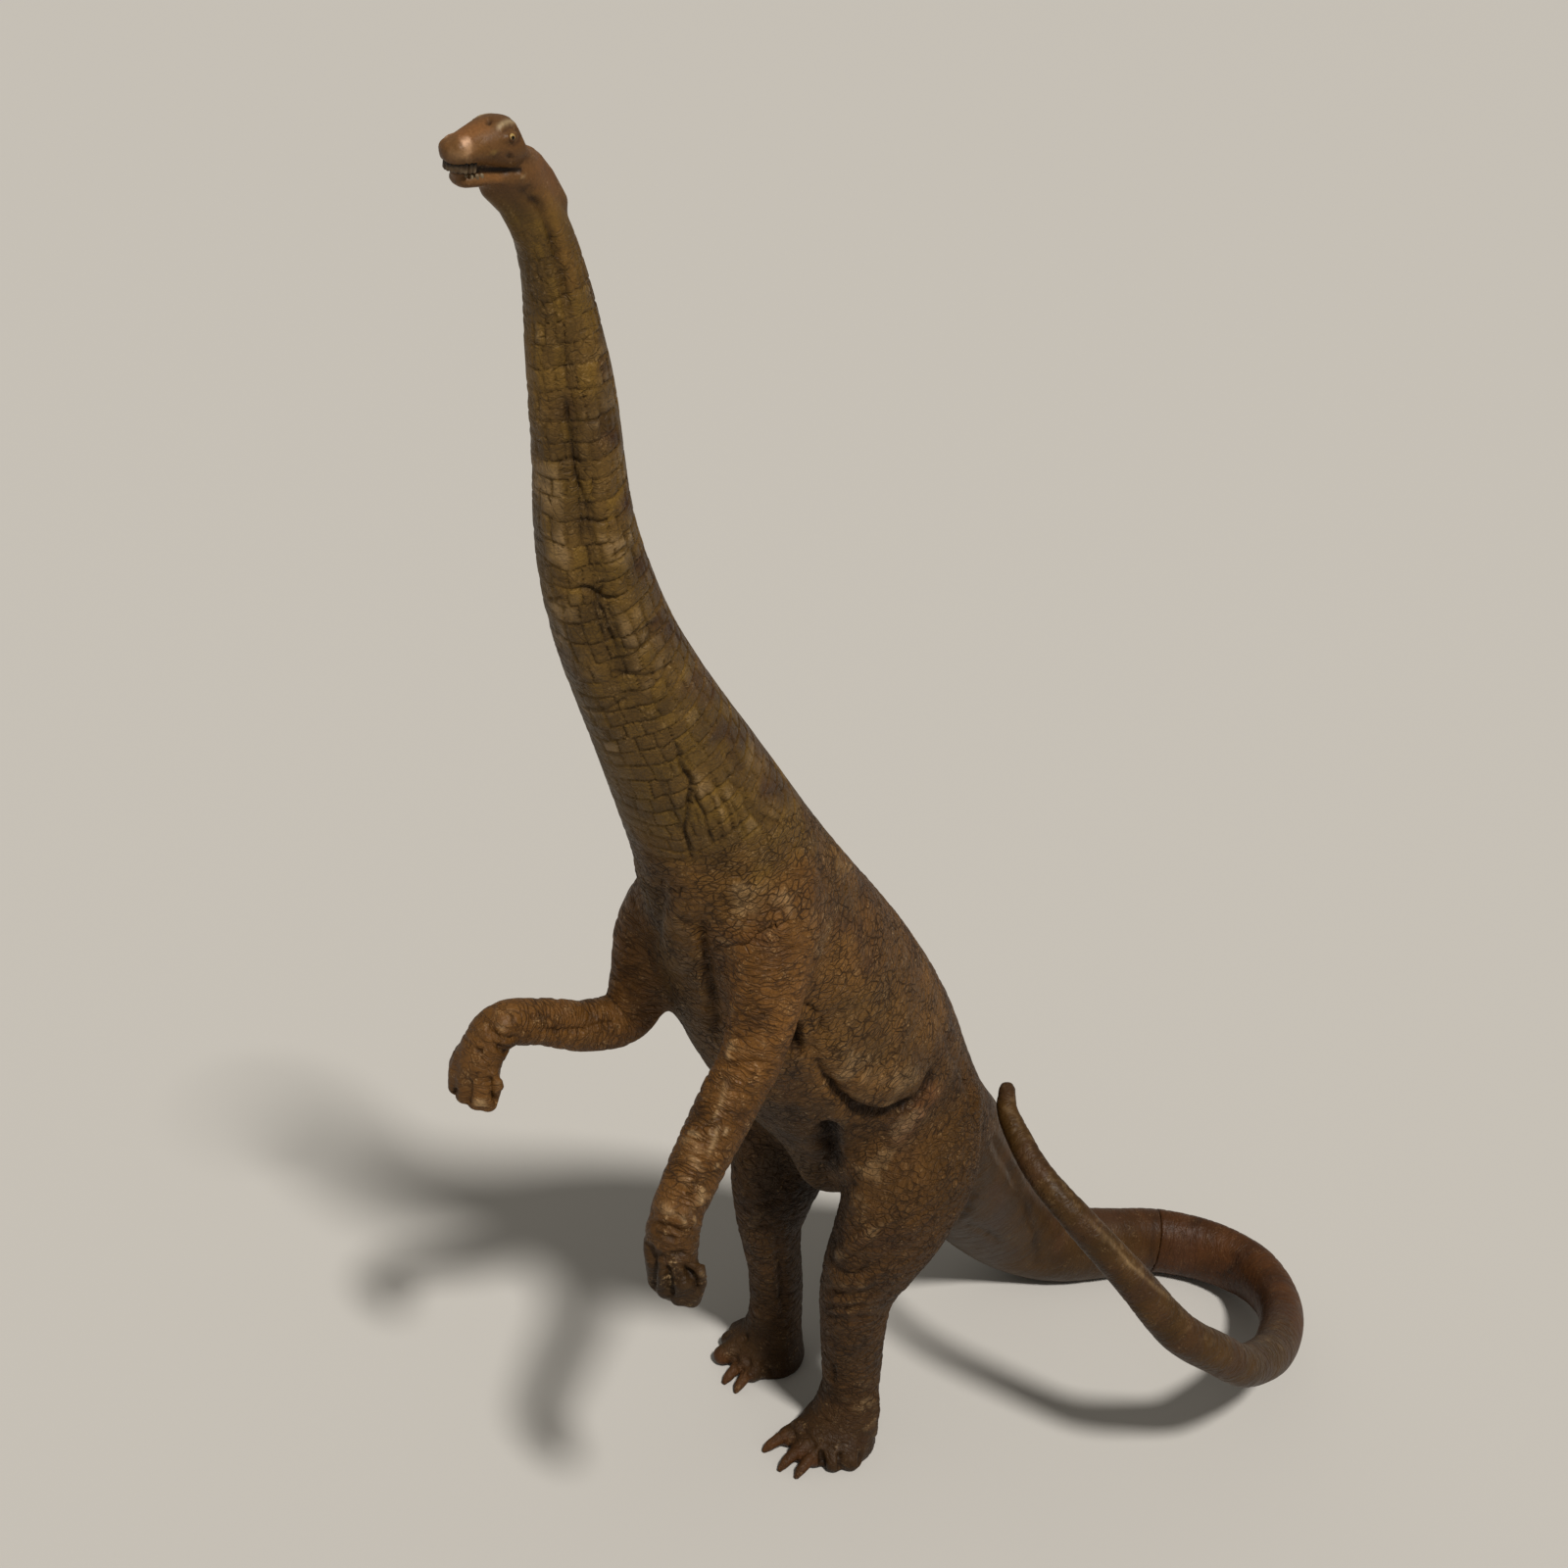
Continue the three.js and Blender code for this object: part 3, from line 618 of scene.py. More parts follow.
def press_both_sides(points, normals, strokes, middle_x):
    """Strokes on the side that the camera sees and, mirrored about the body's middle, beyond."""
    if not strokes:
        return np.zeros(len(points))
    seen = press(points, normals, strokes)
    flip = np.array([-1.0, 1.0, 1.0])
    mirrored = points * flip + np.stack([2 * middle_x, 0 * middle_x, 0 * middle_x], 1)
    hidden = press(mirrored, normals * flip, strokes)
    left = ease_step(points[:, 0] - middle_x, -2.0, 2.0)
    return seen + hidden * (1 - left) * ease_step(-seen_facing(points, normals), -0.3, 0.1)


def seen_facing(points, normals):
    """How squarely the skin faces the camera: one straight on, zero edge on."""
    return np.einsum("ij,ij->i", normals, unit(camera_place - points))


# %% Strokes on trunk, neck and tail: pixels of the line, width and rise in millimetres
belly_crease = [(830, 1082), (839, 1096), (854, 1113), (870, 1131), (888, 1139), (906, 1139),
                (934, 1125), (950, 1105), (960, 1082)]
trunk_strokes = [
    # the belly hangs over the thigh in a deep fold
    ([(829, 1078), (836, 1090), (852, 1108), (868, 1127), (887, 1136), (906, 1135), (935, 1121),
      (951, 1100), (960, 1078)], 1.4, -1.9),
    (belly_crease, 0.42, -0.7),
    ([(838, 1068), (856, 1090), (874, 1106), (890, 1113), (908, 1111), (928, 1097), (942, 1076)],
     4.6, 1.3),
    ([(858, 1092), (874, 1112), (892, 1120), (912, 1118), (930, 1106)], 0.7, -0.35),
    ([(866, 1080), (882, 1098), (900, 1104), (922, 1096)], 0.7, -0.25),
    ([(862, 1150), (885, 1158), (905, 1150)], 4.0, -0.8),
    ([(958, 1104), (946, 1120), (932, 1140), (912, 1165), (893, 1187), (876, 1210)], 2.2, 1.0),
    ([(852, 1128), (859, 1158), (860, 1190), (853, 1213)], 1.2, 0.6),
    ([(844, 1144), (847, 1170), (851, 1194)], 2.1, -3.0),
    ([(958, 1040), (970, 1066), (983, 1090), (992, 1118), (997, 1160)], 0.9, -0.8),
    # armpit with its flap, and the two cracks behind it
    ([(804, 1042), (809, 1056), (807, 1076)], 2.0, -2.8),
    ([(804, 1026), (814, 1036), (823, 1052), (824, 1066)], 1.0, 1.0),
    ([(808, 1013), (823, 1028), (836, 1038), (842, 1066)], 0.7, -0.9),
    ([(820, 1036), (829, 1057), (833, 1080), (842, 1098)], 0.8, -0.7),
    # breast muscles with the grooves beside them
    ([(711, 925), (716, 950), (718, 980), (724, 1012), (728, 1032), (729, 1066)], 1.1, -1.3),
    ([(673, 890), (672, 939), (668, 967)], 1.3, -1.0),
    ([(692, 915), (692, 958), (697, 995)], 4.0, 1.0),
    ([(655, 868), (676, 874), (696, 876), (712, 884)], 0.8, -0.3),
    ([(676, 905), (688, 909), (700, 907)], 0.5, -0.5),
    # shoulder muscle and shoulder blade
    ([(758, 895), (760, 930), (764, 968)], 5.5, 1.1),
    ([(738, 868), (742, 900), (740, 935)], 1.6, -0.5),
    ([(788, 905), (795, 935), (806, 965), (808, 992)], 2.2, 0.5),
    ([(791, 894), (812, 889), (830, 891), (850, 900), (866, 912)], 0.9, -0.5),
    ([(845, 862), (862, 870), (874, 890)], 3.2, 0.9),
    ([(838, 905), (834, 940), (838, 985)], 5.0, 0.5),
    ([(870, 905), (886, 950), (893, 990)], 1.4, -0.4),
]
shoulder_strokes = [
    # long narrow folds that fan out where the neck rises from the shoulders, the widest one on
    # the throat's side, and the arched crease above them
    ([(683, 752), (692, 770), (697, 784), (705, 796), (704, 812), (702, 824), (700, 837),
      (698, 849), (703, 866), (711, 882)], 0.42, -0.80),
    ([(664, 779), (680, 817), (696, 858)], 0.9, -0.4),
    ([(706, 800), (711, 816), (716, 829), (722, 846), (727, 856), (729, 868)], 0.34, -0.50),
    ([(722, 806), (730, 822), (735, 840), (738, 853), (741, 866)], 0.34, -0.50),
    ([(736, 812), (743, 826), (747, 840), (751, 855)], 0.34, -0.45),
    ([(746, 818), (753, 832), (759, 845), (763, 858)], 0.34, -0.42),
    ([(757, 816), (766, 829), (776, 838), (791, 844)], 0.34, -0.42),
    ([(709, 824), (712, 838), (716, 852)], 0.30, -0.30),
    ([(728, 836), (732, 850), (735, 862)], 0.30, -0.28),
    ([(716, 776), (726, 792), (736, 808), (746, 822)], 0.38, -0.34),
    ([(732, 782), (744, 795), (754, 807), (762, 818), (771, 829), (791, 838), (814, 835),
      (830, 828), (822, 818)], 0.34, -0.42),
    ([(700, 772), (712, 796), (716, 818), (714, 840), (718, 860)], 0.60, 0.34),
    ([(716, 792), (728, 812), (734, 830), (737, 848)], 0.50, 0.28),
    ([(734, 800), (745, 816), (752, 834)], 0.50, 0.26),
    ([(790, 846), (812, 842), (838, 846)], 0.9, 0.35),
    ([(780, 812), (800, 806), (813, 790)], 0.5, -0.35),
    ([(725, 752), (742, 768), (760, 792)], 0.7, -0.40),
]
jaw_to_neck = [(524, 188), (541, 203), (555, 217), (562, 239), (571, 269), (577, 298)]
neck_furrow = [(577, 298), (580, 350), (579, 400), (583, 450), (592, 500), (597, 540), (604, 580),
               (612, 620), (624, 660), (640, 710), (662, 776)]
neck_strokes = [
    # the furrow from the angle of the jaw down the side of the neck
    (jaw_to_neck + [(580, 340)], 0.8, -0.75),
    (neck_furrow, 2.1, -0.9),
    ([(556, 300), (553, 360), (556, 430), (560, 500), (568, 570), (583, 650), (608, 730),
      (640, 800)], 2.2, 0.5),
    ([(596, 300), (602, 350), (606, 420), (612, 500), (624, 560), (640, 630), (668, 700),
      (700, 750)], 2.6, 0.6),
    ([(576, 400), (578, 433), (584, 458), (586, 480), (595, 506), (600, 523), (601, 538),
      (610, 564)], 0.34, -0.40),
    ([(603, 469), (605, 500), (601, 523)], 0.32, -0.36),
    ([(607, 395), (613, 441), (617, 460)], 0.32, -0.36),
    ([(624, 519), (634, 541), (638, 553)], 0.32, -0.36),
    ([(641, 556), (647, 570), (653, 584)], 0.32, -0.36),
    ([(613, 576), (616, 596), (610, 614), (618, 632), (624, 650), (634, 676)], 0.34, -0.43),
    # long creases across the neck
    ([(565, 470), (584, 471), (598, 475)], 0.32, -0.47),
    ([(576, 533), (596, 533), (618, 531), (625, 518)], 0.34, -0.54),
    ([(582, 601), (596, 603), (611, 610), (626, 609), (634, 606)], 0.36, -0.61),
    ([(622, 568), (636, 557)], 0.34, -0.40),
    ([(642, 648), (659, 641), (672, 633)], 0.38, -0.47),
    ([(560, 609), (568, 610), (577, 606)], 0.32, -0.43),
    ([(616, 688), (640, 690), (671, 685), (693, 672)], 0.38, -0.43),
    ([(628, 662), (650, 660), (671, 635)], 0.34, -0.32),
    ([(596, 720), (616, 722), (640, 716)], 0.34, -0.36),
]
tail_strokes = [
    ([(1044, 1218), (1053, 1246), (1058, 1265), (1056, 1297)], 1.1, -0.35),
    ([(1006, 1150), (1028, 1190), (1042, 1218)], 1.0, -0.6),
    ([(980, 1248), (1003, 1255), (1024, 1270)], 1.0, -0.5),
    ([(1005, 1172), (996, 1210), (975, 1252)], 1.2, -0.9),
]

# %% Strokes on the limbs
left_leg_strokes = [
    # knee cap, the folds under it and the crack in the shin
    ([(848, 1248), (849, 1285), (857, 1298), (870, 1302), (886, 1297), (906, 1284)], 0.8, -0.8),
    ([(870, 1262), (878, 1276)], 5.0, 1.0),
    ([(840, 1314), (859, 1322), (881, 1322), (903, 1311)], 0.8, -0.7),
    ([(838, 1330), (859, 1336), (886, 1330)], 0.7, -0.6),
    ([(840, 1341), (864, 1349), (892, 1341)], 0.7, -0.6),
    ([(843, 1365), (865, 1369), (882, 1362)], 0.6, -0.5),
    ([(839, 1307), (860, 1312), (884, 1310), (902, 1300)], 1.0, 0.5),
    ([(838, 1323), (860, 1329), (888, 1325)], 0.9, 0.4),
    ([(851, 1390), (850, 1412)], 0.5, -0.6),
    ([(872, 1196), (862, 1220), (856, 1250), (858, 1280)], 0.9, -0.4),
    ([(893, 1187), (880, 1215), (872, 1240)], 1.6, 0.5),
    ([(884, 1258), (905, 1256), (932, 1244), (957, 1228)], 0.7, -0.4),
    ([(893, 1420), (898, 1445), (890, 1470)], 3.0, 0.7),
    ([(826, 1400), (815, 1420), (800, 1436)], 1.6, 0.5),
    # grooves between the toes
    ([(836, 1478), (839, 1491), (840, 1504)], 0.55, -1.3),
    ([(857, 1480), (859, 1491), (859, 1503)], 0.55, -1.3),
    ([(877, 1480), (878, 1490), (878, 1500)], 0.55, -1.0),
    ([(798, 1444), (808, 1458), (812, 1470)], 0.6, -0.6),
    ([(818, 1456), (826, 1468), (832, 1480)], 0.6, -0.6),
    ([(826, 1478), (834, 1472), (848, 1476), (866, 1474)], 0.7, -0.4),
]
right_leg_strokes = [
    ([(752, 1231), (770, 1231), (787, 1228), (800, 1222)], 0.7, -0.6),
    ([(757, 1254), (770, 1256), (790, 1250)], 0.7, -0.5),
    ([(765, 1238), (778, 1243)], 3.5, 0.7),
    ([(794, 1254), (795, 1288), (798, 1314), (801, 1345)], 0.9, -1.0),
    ([(756, 1290), (772, 1294), (788, 1290)], 0.6, -0.4),
    ([(756, 1330), (772, 1334), (790, 1330)], 0.6, -0.4),
    ([(759, 1362), (760, 1369)], 0.9, -0.8),
    ([(748, 1382), (754, 1392), (757, 1402)], 0.7, -0.7),
    ([(762, 1384), (764, 1396), (764, 1406)], 0.7, -0.8),
    ([(776, 1388), (784, 1398), (790, 1408)], 0.8, -0.7),
]
left_arm_strokes = [
    # the mould's parting line, the elbow's crease, wrist folds and the ridges of the hand
    ([(743, 948), (745, 1002), (747, 1047), (743, 1090), (737, 1120), (727, 1145), (719, 1180)],
     0.35, 0.14),
    ([(733, 1084), (750, 1087), (768, 1085), (792, 1088)], 0.7, -0.8),
    ([(738, 1070), (760, 1072), (786, 1068)], 2.0, 0.5),
    ([(708, 1145), (704, 1180), (694, 1215)], 2.4, 0.4),
    ([(663, 1243), (676, 1250), (693, 1255), (718, 1256)], 0.6, -0.9),
    ([(664, 1254), (678, 1262), (692, 1266)], 0.5, -0.6),
    ([(694, 1262), (706, 1264), (714, 1262)], 0.4, -0.4),
    ([(682, 1280), (694, 1279), (703, 1277)], 0.5, -0.6),
    ([(666, 1236), (690, 1244), (714, 1243)], 1.6, 0.7),
    ([(692, 1232), (700, 1250)], 0.5, 0.5),
    ([(704, 1238), (708, 1250)], 0.45, 0.45),
    ([(712, 1222), (716, 1232)], 1.6, 0.6),
    ([(722, 1246), (716, 1254)], 1.0, 0.5),
    # grooves between the fingers, each finger round between them
    ([(665, 1280), (676, 1284), (688, 1286)], 0.55, -0.6),
    ([(661, 1266), (665, 1282), (667, 1300), (667, 1318)], 0.60, -1.2),
    ([(680, 1290), (682, 1304), (686, 1324)], 0.60, -1.1),
    ([(694, 1290), (701, 1296), (708, 1308), (715, 1322)], 0.70, -1.5),
    ([(674, 1296), (676, 1316)], 1.2, 0.5),
    ([(696, 1304), (700, 1322)], 1.7, 0.6),
    ([(716, 1288), (722, 1306)], 1.5, 0.5),
    ([(690, 1306), (700, 1304)], 0.4, -0.25),
]
right_arm_strokes = [
    ([(548, 1050), (571, 1053), (592, 1050), (614, 1045), (635, 1043)], 0.6, -0.7),
    ([(495, 1048), (511, 1057), (530, 1061)], 0.6, -0.8),
    ([(507, 1067), (516, 1073), (524, 1078)], 0.5, -0.7),
    ([(500, 1062), (512, 1068), (526, 1070)], 0.45, -0.4),
    ([(484, 1072), (493, 1073)], 0.5, -0.6),
    ([(490, 1078), (494, 1084)], 0.5, -0.5),
    ([(500, 1036), (514, 1040), (530, 1048)], 2.2, 0.7),
    # grooves between the fingers and beside the thumb
    ([(497, 1098), (500, 1110), (503, 1120), (514, 1126)], 0.7, -1.2),
    ([(479, 1100), (478, 1116), (477, 1130)], 0.6, -0.9),
    ([(485, 1094), (486, 1106)], 0.5, -0.5),
    ([(465, 1108), (463, 1118), (464, 1126)], 0.5, -0.8),
    ([(490, 1120), (490, 1130)], 1.4, 0.5),
    ([(508, 1100), (514, 1112)], 1.2, 0.5),
    ([(640, 1000), (650, 1030), (652, 1048)], 1.2, -0.5),
]

# %% [markdown]
# ## Small relief of the skin
# The neck is covered with rectangular plates in rows, smooth rolls run across its throat, tight
# rings run round the arms and the skin of the legs is cracked. Each is a formula on the
# straightened body, so it follows every bend. Only relief coarser than the mesh is pressed into
# it; the finest wrinkles are left to the paint's bump.

# %% Relief patterns
def rings(place, pitch, stretch, seed):
    """Wrinkles round a limb: noise that changes fast along and slowly across. Where it passes
    zero there is a sharp crease, and a round roll lies between two creases."""
    warp = noise(place / 11.0, seed + 5) * 0.6
    stretched = place / [stretch, stretch, pitch] + np.stack([0 * warp, 0 * warp, warp], 1)
    value = np.abs(noise(stretched, seed))
    return ease_step(value, 0.0, 0.24) - 0.85


def tiles(skin, rows_pitch, count, seed):
    """Rows of rectangular plates: the nearest row edge or column edge makes a crack, and every
    row starts at its own angle. The plate's share of random height is returned with it."""
    place, angle = skin["place"], skin["angle"]
    row_place = skin["along"] / rows_pitch + noise(place / 12.0, seed) * 0.5
    row = np.floor(row_place)
    code = np.stack([row, 0 * row, 0 * row], 1)
    start = shares_of(scatter(code, seed))[:, 0]
    column_place = angle / (2 * np.pi) * count + start + noise(place / 9.0, seed + 3) * 0.3
    column = np.floor(column_place)
    tile = shares_of(scatter(np.stack([row, column % count, 0 * row], 1), seed + 1))
    row_gap = np.minimum(row_place - row, row + 1 - row_place) * rows_pitch
    girth = skin["girth"].mean(axis=1) * 2 * np.pi / count
    column_gap = np.minimum(column_place - column, column + 1 - column_place) * girth
    row_gap = row_gap + 0.5 * (tile[:, 2] > 0.72)
    column_gap = column_gap + 0.6 * (tile[:, 1] > 0.62)
    edge = np.minimum(ease_step(row_gap, 0.0, 0.40), ease_step(column_gap, 0.0, 0.36))
    return edge - 0.85 + 0.22 * (tile[:, 0] - 0.5), tile[:, 0]


def neck_share(points):
    """One on the neck, zero on the trunk, eased across the seam, whose height is uneven."""
    above = (points - neck_seam) @ unit(np.array(neck_seam_way)) + 5.0 * noise(points / 9.0, 17)
    return ease_step(above, -12.0, 10.0)


def tail_share(points):
    """One on the tail, zero on the trunk, eased across the seam."""
    return ease_step((points - tail_seam) @ unit(np.array(tail_seam_way)), -14.0, 14.0)


def cracked_skin(place, shift_pitch, plate, sharpness, seed):
    """Plates between cracks, on places that noise has shifted so that no crack is straight."""
    amount, pitch = shift_pitch
    shifted = place + amount * noise(place / pitch, seed + 2)[:, None]
    crack, _ = plates(shifted / np.array(plate), 0.9, seed)
    return ease_step(crack, 0.0, sharpness) - 0.8


neck_plates = {"rows_pitch": 3.5, "count": 22, "seed": 3}


def spine_relief(points, skin):
    """Fine relief of trunk, neck and tail in millimetres."""
    neck, tail = neck_share(points), tail_share(points)
    angle = skin["angle"]
    throat = bump_of(angle, -np.pi / 2, 0.55)
    plates_of_neck, _ = tiles(skin, **neck_plates)
    head_end = 1 - ease_step(points[:, 2], 272.0, 289.0)
    folds = rings(skin["place"], 2.2, 16.0, 11)
    neck_relief = 0.36 * plates_of_neck * (1 - throat) + 0.10 * folds * (0.25 + throat)
    trunk_relief = 0.10 * rings(skin["place"], 3.2, 7.5, 21)
    plated = cracked_skin(skin["place"], (1.6, 4.5), [4.6, 4.6, 2.5], 0.30, 31)
    trunk_relief = trunk_relief + 0.22 * plated
    tail_relief = 0.06 * rings(skin["place"], 3.2, 9.0, 41)
    return (trunk_relief * (1 - neck) * (1 - tail) + neck_relief * neck * head_end
            + tail_relief * tail)


def arm_relief(points, skin):
    """Tight rings as far as the wrist, weak ones on the hand."""
    hand = skin["along"] > skin["along"].max() - 9.0
    return np.where(hand, 0.06, 0.24) * rings(skin["place"], 2.6, 8.0, 51)


def leg_relief(points, skin):
    """Cracked skin with rings over it, which are stronger on the shin and weak on the foot."""
    shin = 1 - ease_step(points[:, 2], 44.0, 60.0)
    foot = 1 - ease_step(points[:, 2], 6.0, 12.0)
    value = 0.25 * cracked_skin(skin["place"], (1.4, 4.0), [3.8, 3.8, 2.3], 0.24, 61)
    value = value + 0.09 * rings(skin["place"], 2.9, 8.0, 71) * (1 + shin)
    return value * (1 - 0.6 * foot)


def whip_relief(points, skin):
    """Narrow rings all along the whip."""
    return 0.10 * rings(skin["place"], 2.2, 4.0, 81)


# %% [markdown]
# ## Paint
# The real figure is painted ochre and brown, with purple-brown saddles over the back. A dark
# wash stays in the creases, and a nearly dry brush leaves cream on the high wrinkles. Painted
# shade darkens the deepest hollows and folds, and a few painted highlights sit where the light
# falls. The colour is worked out for every point of the mesh and stored with it; names are the
# painter's.

# %% Pots of paint
def pot(red, green, blue):
    """A screen colour turned into light: above a small toe it is a power of 2.4."""
    value = np.array([red, green, blue]) / 255.0
    return np.where(value < 0.04045, value / 12.92, ((value + 0.055) / 1.055) ** 2.4)


ochre, yellow_ochre, umber = pot(95, 71, 32), pot(116, 88, 33), pot(115, 80, 36)
orange_brown, dark_brown, red_brown = pot(107, 71, 31), pot(70, 46, 19), pot(71, 41, 19)
purple_brown, olive, cream = pot(60, 38, 26), pot(62, 48, 22), pot(196, 164, 120)
wash_and_shade, near_black_and_shade, bone = pot(30, 18, 8), pot(14, 8, 5), pot(140, 124, 98)
hand_grey_and_shade, whip_brown, tail_brown = pot(47, 32, 16), pot(65, 44, 18), pot(60, 41, 18)
belly_ochre, hip_sheen_pink, shaded_brown = pot(78, 60, 29), pot(124, 78, 50), pot(50, 32, 14)
claw_brown, skull_brown, snout_brown = pot(86, 50, 24), pot(106, 72, 42), pot(122, 78, 42)
snout_highlight_cream, lip_tan, snout_highlight_tan = pot(222, 180, 148), pot(160, 124, 88), pot(176, 138, 104)
brow_cream, cheek_ochre, lip_brown = pot(204, 182, 144), pot(140, 112, 60), pot(126, 84, 44)
nape_highlight_ochre, iris, eye_rim = pot(136, 98, 46), pot(150, 124, 74), pot(86, 56, 30)
tooth_stain = pot(80, 62, 44)


def mix(colour, other, amount):
    """Each point's colour moved towards another by its own amount."""
    amount = np.clip(amount, 0, 1)[:, None]
    return colour * (1 - amount) + other * amount


def brushed(colour, points, normals, strokes, middle_x=None):
    """Paint strokes: pixels of the line, width in millimetres, the pot and how thick it is."""
    for line, width, paint, amount in strokes:
        stroke = [(line, width, amount)]
        if middle_x is None:
            strength = press(points, normals, stroke)
        else:
            strength = press_both_sides(points, normals, stroke, middle_x)
        patchy = 0.75 + 0.55 * noise(points / (1.4 * width), 23)
        colour = mix(colour, paint, strength * patchy)
    return colour


saddle_lines = [
    ([(606, 372), (618, 376), (626, 380)], 1.6, 0.80),
    ([(612, 440), (629, 448), (640, 456)], 2.0, 0.85),
    ([(628, 506), (643, 514), (652, 524)], 2.2, 0.85),
    ([(644, 574), (659, 580), (670, 590)], 2.2, 0.80),
    ([(664, 628), (684, 640), (698, 656)], 2.4, 0.8),
    ([(698, 690), (716, 700), (734, 712)], 2.4, 0.7),
    ([(722, 742), (744, 754), (764, 762)], 2.6, 0.8),
    ([(770, 806), (792, 806), (812, 800)], 3.0, 0.8),
    ([(764, 930), (772, 950), (768, 968)], 2.4, 0.8),
    ([(800, 880), (822, 900), (848, 930), (852, 960)], 3.4, 0.75),
    ([(868, 930), (884, 965), (890, 1000)], 3.0, 0.7),
    ([(905, 1132), (925, 1172), (915, 1215)], 3.4, 0.45),
    ([(905, 1040), (898, 1062), (880, 1078)], 4.0, 0.25),
]
body_paint_and_shade = [(line, width, purple_brown, amount) for line, width, amount in saddle_lines]
body_paint_and_shade += [
    ([(726, 800), (738, 820), (742, 842)], 5.5, yellow_ochre, 0.55),
    ([(600, 560), (616, 600), (640, 650)], 4.5, yellow_ochre, 0.40),
    ([(858, 1010), (890, 1060), (890, 1100)], 9.0, belly_ochre, 0.55),
    # a painted reddish sheen along the front ridge of the thigh
    ([(960, 1100), (935, 1135), (908, 1170)], 1.7, hip_sheen_pink, 0.5),
    ([(1044, 1212), (1053, 1246), (1058, 1265), (1056, 1297)], 1.1, near_black_and_shade, 0.45),
    ([(1010, 1200), (1022, 1230), (1010, 1260)], 2.6, purple_brown, 0.4),
    ([(1080, 1230), (1084, 1262), (1080, 1300)], 2.0, purple_brown, 0.35),
    # painted shade: the hollow between keel and left thigh, the armpit, the belly's fold, the
    # neck's furrow and the right groin
    ([(843, 1142), (847, 1170), (852, 1198)], 2.6, wash_and_shade, 1.5),
    ([(806, 1046), (809, 1058), (806, 1078)], 1.7, wash_and_shade, 1.1),
    (belly_crease, 0.7, wash_and_shade, 0.55),
    (neck_furrow, 1.9, wash_and_shade, 0.34),
    ([(790, 1124), (794, 1150), (800, 1176)], 4.5, near_black_and_shade, 0.9),
    ([(1173, 1300), (1176, 1262), (1181, 1236)], 0.8, near_black_and_shade, 0.40),
]
# the saddles and the whip's bands come back after this many millimetres of the body's length
saddle_pitch, band_pitch = 24.0, 17.0


def wear(colour, points, fine, amount, seed):
    """Dark wash where the fine relief is low, cream where it is high and the brush touched."""
    brush = noise(points / 6.5, seed) + 0.35 * noise(points / 2.2, seed + 1)
    touched = ease_step(brush, -0.15, 0.55)
    colour = mix(colour, wash_and_shade, ease_step(-fine, 0.12, 0.75) * 0.60)
    return mix(colour, cream, ease_step(fine, 0.02, 0.14) * touched * amount)


def mottled(colour, points, seed):
    """Clouds of darker and lighter paint, a few millimetres across."""
    cloud = noise(points / 11.0, seed) + 0.5 * noise(points / 4.5, seed + 1)
    colour = mix(colour, purple_brown, ease_step(cloud, 0.15, 0.9) * 0.42)
    return colour * (1 + 0.20 * noise(points / 7.0, seed + 2))[:, None]


def spine_paint(points, normals, skin, fine):
    """Umber trunk, ochre neck with single yellow plates, brown tail; purple saddles on the back,
    olive along the throat and the belly, painted shade in the deepest hollows and folds and a
    painted sheen on the thigh's ridge."""
    neck, tail = neck_share(points), tail_share(points)
    angle = skin["angle"]
    colour = np.repeat(umber[None], len(points), 0)
    colour = mix(colour, ochre, neck)
    _, plate = tiles(skin, **neck_plates)
    side = 1 - bump_of(angle, -np.pi / 2, 0.6)
    colour = mix(colour, yellow_ochre, neck * side * ease_step(plate, 0.55, 0.9) * 0.55)
    low_neck = neck * (1 - ease_step(points[:, 2], 205.0, 250.0))
    colour = mix(colour, olive, bump_of(angle, -np.pi / 2, 0.7) * low_neck * 0.75)
    colour = mix(colour, dark_brown, ease_step(-points[:, 2], -140.0, -92.0) * 0.75)
    colour = mix(colour, tail_brown, tail * 0.85)
    back = bump_of(angle, np.pi / 2, 0.62)
    turn = skin["along"] / saddle_pitch * 2 * np.pi + 0.8 * noise(points / 14.0, 7)
    colour = mix(colour, purple_brown, back * (0.35 + 0.35 * ease_step(np.sin(turn), 0.1, 0.7)))
    colour = mix(colour, olive, bump_of(angle, -np.pi / 2, 0.75) * (1 - neck) * 0.90)
    tail_end = ease_step(points[:, 1], 92.0, 104.0) * (1 - ease_step(points[:, 2], 16, 30))
    colour = mix(colour, red_brown, tail_end * 0.6)
    colour = mottled(colour, points, 101)
    colour = brushed(colour, points, normals, body_paint_and_shade, skin["centre"][:, 0])
    return wear(colour, points, fine, 0.26, 111)


worn_spots = [
    # pale places where hands have rubbed the shoulder, the forearm's ridge and the wrist
    ([(741, 921), (749, 919), (757, 923)], 0.34, 0.65),
    ([(744, 929), (752, 927), (762, 931)], 0.34, 0.70),
    ([(742, 936), (750, 935), (758, 938)], 0.30, 0.55),
    ([(748, 944), (756, 942), (764, 945)], 0.30, 0.50),
    ([(742, 1098), (738, 1118), (732, 1134)], 0.55, 0.32),
    ([(735, 1146), (729, 1164), (722, 1180)], 0.50, 0.42),
    ([(743, 1150), (740, 1160)], 0.35, 0.50),
    ([(733, 1186), (729, 1192)], 0.35, 0.60),
    ([(718, 1210), (716, 1220), (713, 1230)], 0.60, 0.55),
    ([(694, 1238), (699, 1250)], 0.40, 0.50),
    ([(706, 1240), (709, 1250)], 0.40, 0.45),
]


